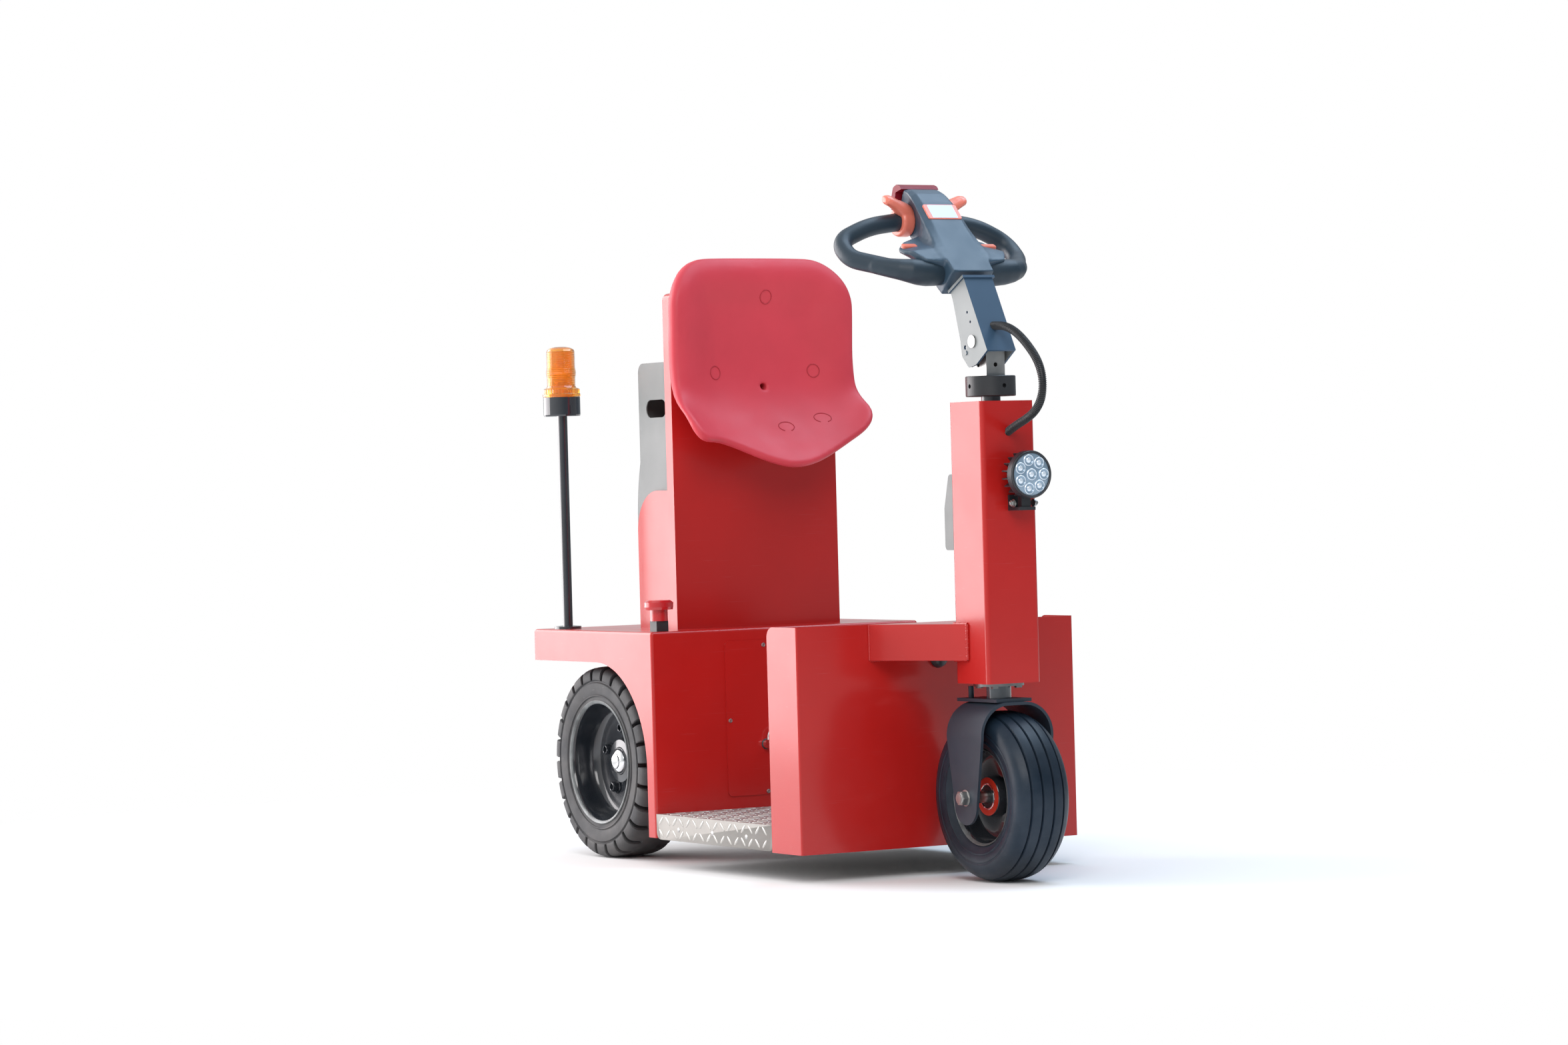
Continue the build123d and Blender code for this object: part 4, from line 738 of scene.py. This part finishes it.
# Outwards along a rocker's wing: y, x and z of the middle, half width, half thickness, forward lean
ROCKER_SECTIONS = (
    (29, 349, 1222, 20, 14, 0.6), (38, 350, 1225, 21, 15.5, 0.6), (48, 351, 1228, 20, 16, 0.55),
    (57, 352.5, 1232.5, 18.5, 14, 0.5), (67, 354.5, 1239, 17, 11.5, 0.45), (77, 356, 1244, 16, 10.2, 0.4),
    (85, 356, 1245.5, 13, 8.4, 0.35), (88.5, 356, 1246, 7.5, 4.6, 0.35))

# Outwards along a lower bar: x, y and z of the middle, radius
FAIRING_SECTIONS = (
    (466, 40, 1106, 23.0), (468, 56, 1106, 24.5), (471, 76, 1106, 25.0), (473, 94, 1107, 24.0),
    (473, 110, 1109, 22.0), (465, 126, 1112, 19.5), (449, 141, 1116, 17.5), (429, 156, 1121, 15.5),
    (415, 163, 1125, 12.0))


def on_face(up, across, out):
    return FACE_AT + FACE_UP * up + Y * across + FACE_OUT * out


def head_shape():
    """Cover of the tiller head: long face, wings over the lower bars, sides drawn in beside the rockers."""
    shape = Shape()
    rows = []
    for up, middle, crease, *others in HEAD_SECTIONS:
        under = others[-1]
        right = [(crease[0] * 0.72, middle - 0.8), crease, *others, (under[0] * 0.5, under[1])]
        rows.append([on_face(up, y, n) for y, n in right] + [on_face(up, -y, n) for y, n in right[::-1]])
    shape.closed(rows)
    return shape


def rocker_shape():
    """Two thumb rockers: a collar round each bar with a wing that sweeps up and out."""
    collar = [(17.4, 28.4), (26.4, 28.4), (28.2, 31), (28.2, 48), (26.0, 53.4), (17.4, 53.4)]
    shape = Shape()
    for s in BOTH_SIDES:
        shape.lathe(mirrored(collar, s), UPPER_BAR, Y, 48, ring=True)
        rows = []
        for y, x, z, wide, thick, lean in ROCKER_SECTIONS:
            along, out = Vector((cos(lean), 0, -sin(lean))), Vector((sin(lean), 0, cos(lean)))
            middle = Vector((x, s * y, z))
            rows.append([middle + along * (wide * cos(a)) + out * (thick * sin(a)) for a in circle(20)])
        shape.closed(rows)
    return shape


def bar_fairings():
    """Thick part of the lower bars where they run in under the wings."""
    shape = Shape()
    radii = [r for *_, r in FAIRING_SECTIONS]
    for s in BOTH_SIDES:
        shape.tube([(x, s * y, z) for x, y, z, _ in FAIRING_SECTIONS], radii, 32)
    return shape


def head_details():
    """Display in its frame and the two buttons on the wings."""
    shape = Shape()
    shape.plate(rounded(36.0, 18.6, 4.5), on_face(DISPLAY_UP, 0, -2.0), Y, FACE_UP, 2.9, 0.8)
    shape.plate(rounded(27.5, 16.4, 1.6), on_face(DISPLAY_UP, 0, -1.0), Y, FACE_UP, 2.3, 0.3, slot=1)
    for s in BOTH_SIDES:
        shape.plate(rounded(15, 6.5, 3.0), (BUTTON_X, s * BUTTON_Y, BUTTON_Z), Y, WING_UP, 8.5, 1.8)
    shape.make("head_panel", "tiller", [SALMON, DISPLAY], "rocker_plastic")


# Seat: half width, height of the top, radius of the upper corners in the CAD and here
SEAT_HALF, SEAT_TOP, CAD_CORNER, SEAT_CORNER = 206.0, 1175.0, 58.0, 92.0
RIM_START, RIM_WIDTH, RIM_FORWARD = 115.0, 85.0, 14.0
ROLL_WIDTH, ROLL_BACK = 28.0, 9.0
BACK_LOW, BACK_ZONE = 860.0, 90.0
CROWN_LOW, CROWN_ZONE, CROWN_DROP = 1000.0, 100.0, 8.0
PAN_TOP, PAN_ZONE, PAN_FLARE, PAN_RISE = 930.0, 90.0, 9.0, 20.0
SEAT_PLUGS = ((15, 1098, 12.5), (-106, 950, 12.0), (116, 952, 12.0))
SEAT_DRAIN = (3.5, 922)
SEAT_MARKS = ((28, 842), (112, 858))


def share(value):
    """The value held between 0 and 1."""
    return min(1.0, max(0.0, value))


def ease(value):
    """The same, with soft ends."""
    t = share(value)
    return t * t * (3 - 2 * t)


def corner_reach(c, s, half, radius):
    """Distance to the edge of a rounded square of that half size, from its middle along (c, s)."""
    q = half - radius
    if s * half <= q * c:
        return half / c
    if c * half <= q * s:
        return half / s
    return q * (c + s) + (max(0.0, (q * (c + s)) ** 2 - 2 * q * q + radius * radius)) ** 0.5


def seat_form(p):
    """Rounds the upper corners more, dishes the back, rolls its edge back and flares the pan."""
    side = 1.0 if p.y > 0 else -1.0
    x, y, z = p.x, abs(p.y), p.z
    dy, dz = y - (SEAT_HALF - SEAT_CORNER), z - (SEAT_TOP - SEAT_CORNER)
    inside = min(SEAT_HALF - y, SEAT_TOP - z)
    if dy > 0 and dz > 0:
        far = (dy * dy + dz * dz) ** 0.5
        k = SEAT_CORNER / corner_reach(dy / far, dz / far, SEAT_CORNER, CAD_CORNER)
        y, z = SEAT_HALF - SEAT_CORNER + dy * k, SEAT_TOP - SEAT_CORNER + dz * k
        inside = SEAT_CORNER - far * k
    inside = max(0.0, inside)
    high = share((z - BACK_LOW) / BACK_ZONE)
    roll = max(0.0, 1.0 - inside / ROLL_WIDTH) ** 2
    x += (RIM_FORWARD * ease((RIM_START - inside) / RIM_WIDTH) - ROLL_BACK * roll) * high
    z -= CROWN_DROP * high * share((z - CROWN_LOW) / CROWN_ZONE) * (y / SEAT_HALF) ** 3
    flare = ease((PAN_TOP - z) / PAN_ZONE) * min(1.0, y / SEAT_HALF) ** 3
    return Vector((x, side * (y + PAN_FLARE * flare), z + PAN_RISE * flare))


def seat_details(seat):
    """Rings of the plugs, the rim of the drain and the raised marks in the pan, laid on the seat."""
    skin = BVHTree.FromPolygons([vertex.co for vertex in seat.data.vertices],
                                [tuple(polygon.vertices) for polygon in seat.data.polygons])
    shape = Shape()

    def seat_point(y, z):
        place, normal, _, _ = skin.ray_cast(Vector((0.1, y * MM, z * MM)), Vector((-1, 0, 0)))
        return (place / MM, normal) if place else (None, None)

    def mark(points, radius):
        found = [seat_point(y, z)[0] for y, z in points]
        if all(found):
            shape.tube(found, radius, 8)

    for y, z, r in SEAT_PLUGS:
        turn = [2 * pi * k / 36 for k in range(37)]
        mark([(y + r * cos(a), z + r * 1.08 * sin(a)) for a in turn], 1.15)
    at, normal = seat_point(*SEAT_DRAIN)
    if at:
        rim = [(15.0, -2.0), (13.4, 0.7), (11.6, 1.5), (9.6, 0.6), (7.6, -3.0)]
        shape.lathe(rim, at, normal, 40, ring=True)
    for y, z in SEAT_MARKS:
        turn = [0.45 + 5.4 * k / 36 for k in range(37)]
        mark([(y + 17 * sin(a), z - 9 * cos(a)) for a in turn], 1.05)
    shape.make("seat_plugs", "chassis", [SEAT_MARK], "seat_plastic")


# Small parts
def hardware():
    """Screws of the hatch, rivets of the step, cups of the hatch handle."""
    shape = Shape()
    for y, z in HATCH_SCREWS:
        shape.screw((HATCH_X, y, z), X, 4.2, 2.2)
    for x in RIVET_X:
        for s in BOTH_SIDES:
            at = (x, s * SHEET_HALF, 76.6)
            shape.lathe([(4.6, 0), (4.6, 0.35), (3.4, 0.7), (0, 0.75)], at, Y * s, 24)
    shape.make("small_screws", "chassis", [ZINC], "bright_steel")
    cup = [(10.5, 0), (10.5, 0.9), (9.0, 2.4), (7.0, 3.0), (6.0, 2.4), (5.4, 1.2)]
    cups = Shape()
    for y, z in HANDLE_CUPS:
        cups.lathe(cup, (HATCH_X, y, z), X, 36)
    cups.make("handle_cups", "chassis", [PLASTIC], "black_plastic")


def gland():
    """Rubber gland in the apron under the arm."""
    shape = Shape()
    shape.lathe([(12.8, 353), (12.8, 359), (16.0, 359), (16.4, 362), (14.5, 366), (13.6, 371), (11.0, 375),
                 (6.0, 377), (0, 377.4)], (0, 0, 398), X, 40)
    shape.make("cable_gland", "chassis", [PLASTIC], "black_plastic")


# Weld beads: the arm's edges, the apron, the column's back and sides, the seat post with its gussets
ARM_LOW, ARM_TOP, ARM_HALF = 401.0, 467.0, 148.0
APRON_X = 359.0
COLUMN_BACK_X, COLUMN_SIDE_X, COLUMN_HALF = 507.5, 552.0, 57.5
POST_X, POST_HALF, POST_LOW, POST_TOP = -316.0, 174.0, 470.0, 700.0
BEAD_STEP = 1.5


def weld(shape, start, end, radius):
    """Bead with the ripple of a hand-laid weld."""
    start, end = Vector(start), Vector(end)
    count = max(2, int((end - start).length / BEAD_STEP))
    points = [start + (end - start) * k / count for k in range(count + 1)]
    radii = [radius * (1.0 + 0.13 * sin(k * 1.9) + 0.06 * sin(k * 0.63)) for k in range(count + 1)]
    shape.tube(points, radii, 10)


def welds():
    shape = Shape()
    across, back = COLUMN_HALF - 0.5, COLUMN_BACK_X - 0.5
    for s in BOTH_SIDES:
        side, edge = s * COLUMN_HALF, s * (COLUMN_HALF + 1.5)
        weld(shape, (COLUMN_SIDE_X, edge, ARM_LOW + 1), (COLUMN_SIDE_X, edge, ARM_TOP - 1), 3.4)
        for z in (ARM_TOP, ARM_LOW):
            weld(shape, (back, side, z), (COLUMN_SIDE_X, side, z), 2.8)
        weld(shape, (APRON_X, s * ARM_HALF, ARM_LOW + 1), (APRON_X, s * ARM_HALF, ARM_TOP - 1), 2.6)
        weld(shape, (POST_X, s * POST_HALF, POST_LOW), (POST_X, s * POST_HALF, POST_TOP), 1.6)
    weld(shape, (COLUMN_BACK_X, -across, ARM_TOP), (COLUMN_BACK_X, across, ARM_TOP), 2.8)
    weld(shape, (APRON_X, 1 - ARM_HALF, ARM_LOW), (APRON_X, ARM_HALF - 1, ARM_LOW), 2.4)
    shape.make("weld_beads", "chassis", [RED], "red_paint", angle=60.0)


# Chequer plate: pitch and half axes of the raised bars, the field that they cover, their heights
BAR_PITCH, BAR_LONG, BAR_WIDE = 26.0, 11.0, 2.9
FIELD_X, FIELD_Y, FIELD_LENGTH, FIELD_WIDTH = -165.0, -286.0, 424.0, 586.0
LIP_X, LIP_Z, RIVET_ROOM = -166.0, (67.0, 91.0), 9.0
TREAD_Z, TREAD_BAR, LIP_BAR = 102.8, 1.4, 0.85


def chequer_plate():
    """Step plate with raised slanting bars on the tread and on both lips."""
    sheet = nodes["step_plate"].data.copy()
    sheet.materials.clear()
    for vertex in sheet.vertices:
        vertex.co.y *= SHEET_HALF / STEP_HALF
    finish_mesh(sheet, "step_sheet", "chassis", [PLATE], ("step_plate",), 30.0)
    shape = Shape()
    outline = [(BAR_LONG * cos(a), BAR_WIDE * sin(a)) for a in circle(12)]
    columns = range(int(FIELD_LENGTH / BAR_PITCH))

    def bar(at, u, v, leans_left, height):
        turn = pi / 4 if leans_left else -pi / 4
        c, s = cos(turn), sin(turn)
        shape.plate([(p * c - q * s, p * s + q * c) for p, q in outline], at, u, v, height, height * 0.8)

    for i in columns:
        for j in range(int(FIELD_WIDTH / BAR_PITCH)):
            at = (FIELD_X + i * BAR_PITCH, FIELD_Y + j * BAR_PITCH, TREAD_Z)
            bar(at, X, Y, (i + j) % 2, TREAD_BAR)
    for s in BOTH_SIDES:
        for i in columns:
            x = LIP_X + i * BAR_PITCH
            if min(abs(x - rivet) for rivet in RIVET_X) < RIVET_ROOM:
                continue
            for j, z in enumerate(LIP_Z):
                bar((x, s * (SHEET_HALF - 0.1), z), X * -s, Z, (i + j) % 2, LIP_BAR)
    # The bars are lighter than the sheet: painted highlight.
    shape.make("chequer_bars", "chassis", [BAR], "chequer_plate", angle=50.0)


make_conduit()
make_camera()

paint(RED, "body_shell", "hatch_panel", "apron", "front_arm", "column", "seat_post", "seat_gussets")
paint(GLOSS, "beacon_pole", "beacon_base")
paint(FLANGE, "bearing_flange")
paint(BLACK, "chassis_box", "floor_frame", "tow_hitch", "rear_axle", "motor_block", "battery_block",
      "stop_base")
paint(LAMP_BLACK, "lamp_housing")
paint(CHROME, "hatch_handle")
paint(GREY, "rear_cover", "column_pad")
paint(ZINC, "tow_pin", "front_axle", "pivot_bolt")
paint(NECK, "steer_shaft")
paint(STEEL, "tiller_block")
paint(FORK, "fork")
paint(PLASTIC, "collar", "conduit")
paint(ARM, "tiller_arm")
paint(CAP, "head_cap")
paint(BUTTON_RED, "stop_button")

for side, word in ((-1, "right"), (1, "left")):
    rear_tyre(side, "rear_tread_" + word, "rear_tyre_" + word, "rear_wheel_" + word)
    rear_rim(side, "rear_disc_" + word, "rear_rim_" + word, "rear_wheel_" + word)
front_tyre()
front_rim()
axle_ends()
moulded("head_shell", "head_cover", "tiller", HEAD, 1.7, 8, head_shape(), with_cad=False)
moulded("handle_bars", "handle_loops", "tiller", GRIP, 1.9, 16, bar_fairings())
moulded("rocker_pair", "thumb_rockers", "tiller", SALMON, 1.2, 8, rocker_shape(),
        with_cad=False)
head_details()
seat_details(moulded("bucket_seat", "seat_shell", "chassis", SEAT, 2.8, 14, change=seat_form))
lamp_optics()
lamp_bolts()
beacon()
hardware()
gland()
welds()
chequer_plate()

# Floor, lamps and sky
FLOOR_SIZE, FLOOR_DROP = 16, 0.0005
FADE_START, FADE_END = 0.9, 2.6
LAMP_TARGET = Vector((0, 0, 0.6))
SKY_BRIGHT_WAY = (-0.62, -0.70, 0.35)
SKY_DIM = (0.19, 0.22, 0.25)
WHITE = (1.0, 1.0, 1.0)


def make_floor():
    """Pale floor that fades into pure white away from the machine."""
    bpy.ops.mesh.primitive_plane_add(size=FLOOR_SIZE, location=(0, 0, -FLOOR_DROP))
    floor = bpy.context.active_object
    floor.name = "floor"
    material = bpy.data.materials.new("floor")
    material.use_nodes = True
    material.node_tree.nodes.clear()
    make = Nodes(material.node_tree)
    length = make.add("ShaderNodeVectorMath")
    length.operation = "LENGTH"
    make.wire(make.place.outputs["Object"], length.inputs[0])
    plain = make.add("ShaderNodeBsdfDiffuse")
    plain.inputs["Color"].default_value = (0.90, 0.90, 0.90, 1)
    bright = make.add("ShaderNodeEmission")
    bright.inputs["Color"].default_value = (*WHITE, 1)
    bright.inputs["Strength"].default_value = 1.0
    blend = make.add("ShaderNodeMixShader")
    make.wire(make.remap(length.outputs["Value"], FADE_START, FADE_END, 0.0, 1.0, soft=True), blend.inputs[0])
    make.wire(plain.outputs[0], blend.inputs[1])
    make.wire(bright.outputs[0], blend.inputs[2])
    make.wire(blend.outputs[0], make.add("ShaderNodeOutputMaterial").inputs["Surface"])
    floor.data.materials.append(material)


def area(name, direction, distance, size, power, colour):
    data = bpy.data.lights.new(name, "AREA")
    data.energy = power
    data.size = size
    data.color = colour
    lamp = bpy.data.objects.new(name, data)
    way = Vector(direction).normalized()
    lamp.location = LAMP_TARGET + way * distance
    lamp.rotation_euler = way.to_track_quat("Z", "Y").to_euler()
    bpy.context.scene.collection.objects.link(lamp)


def make_world():
    """White for the camera and through glass; as a light, bright from one way and dim from the rest."""
    world = bpy.data.worlds.new("world")
    world.use_nodes = True
    background = world.node_tree.nodes["Background"]
    background.inputs["Strength"].default_value = 1.0
    make = Nodes(world.node_tree)
    dot = make.add("ShaderNodeVectorMath")
    dot.operation = "DOT_PRODUCT"
    dot.inputs[1].default_value = SKY_BRIGHT_WAY
    make.wire(make.place.outputs["Generated"], dot.inputs[0])
    sky = make.mix(make.remap(dot.outputs["Value"], -0.5, 0.9, 0.0, 1.0), SKY_DIM, WHITE)
    path = make.add("ShaderNodeLightPath")
    seen = make.maths("MAXIMUM", path.outputs["Is Camera Ray"], path.outputs["Is Transmission Ray"])
    make.wire(make.mix(seen, sky, WHITE), background.inputs["Color"])
    bpy.context.scene.world = world


make_floor()
area("side_sky", (-0.80, -0.60, 0.16), 4.2, 4.6, 290, (1.0, 0.95, 0.965))
area("top_sky", (0.10, 0.40, 0.90), 3.6, 2.6, 90, (0.62, 0.80, 1.0))
area("front_fill", (0.85, -0.45, 0.60), 5.0, 2.4, 92, (1.0, 0.98, 0.97))
make_world()
bpy.context.scene.view_settings.view_transform = "Standard"
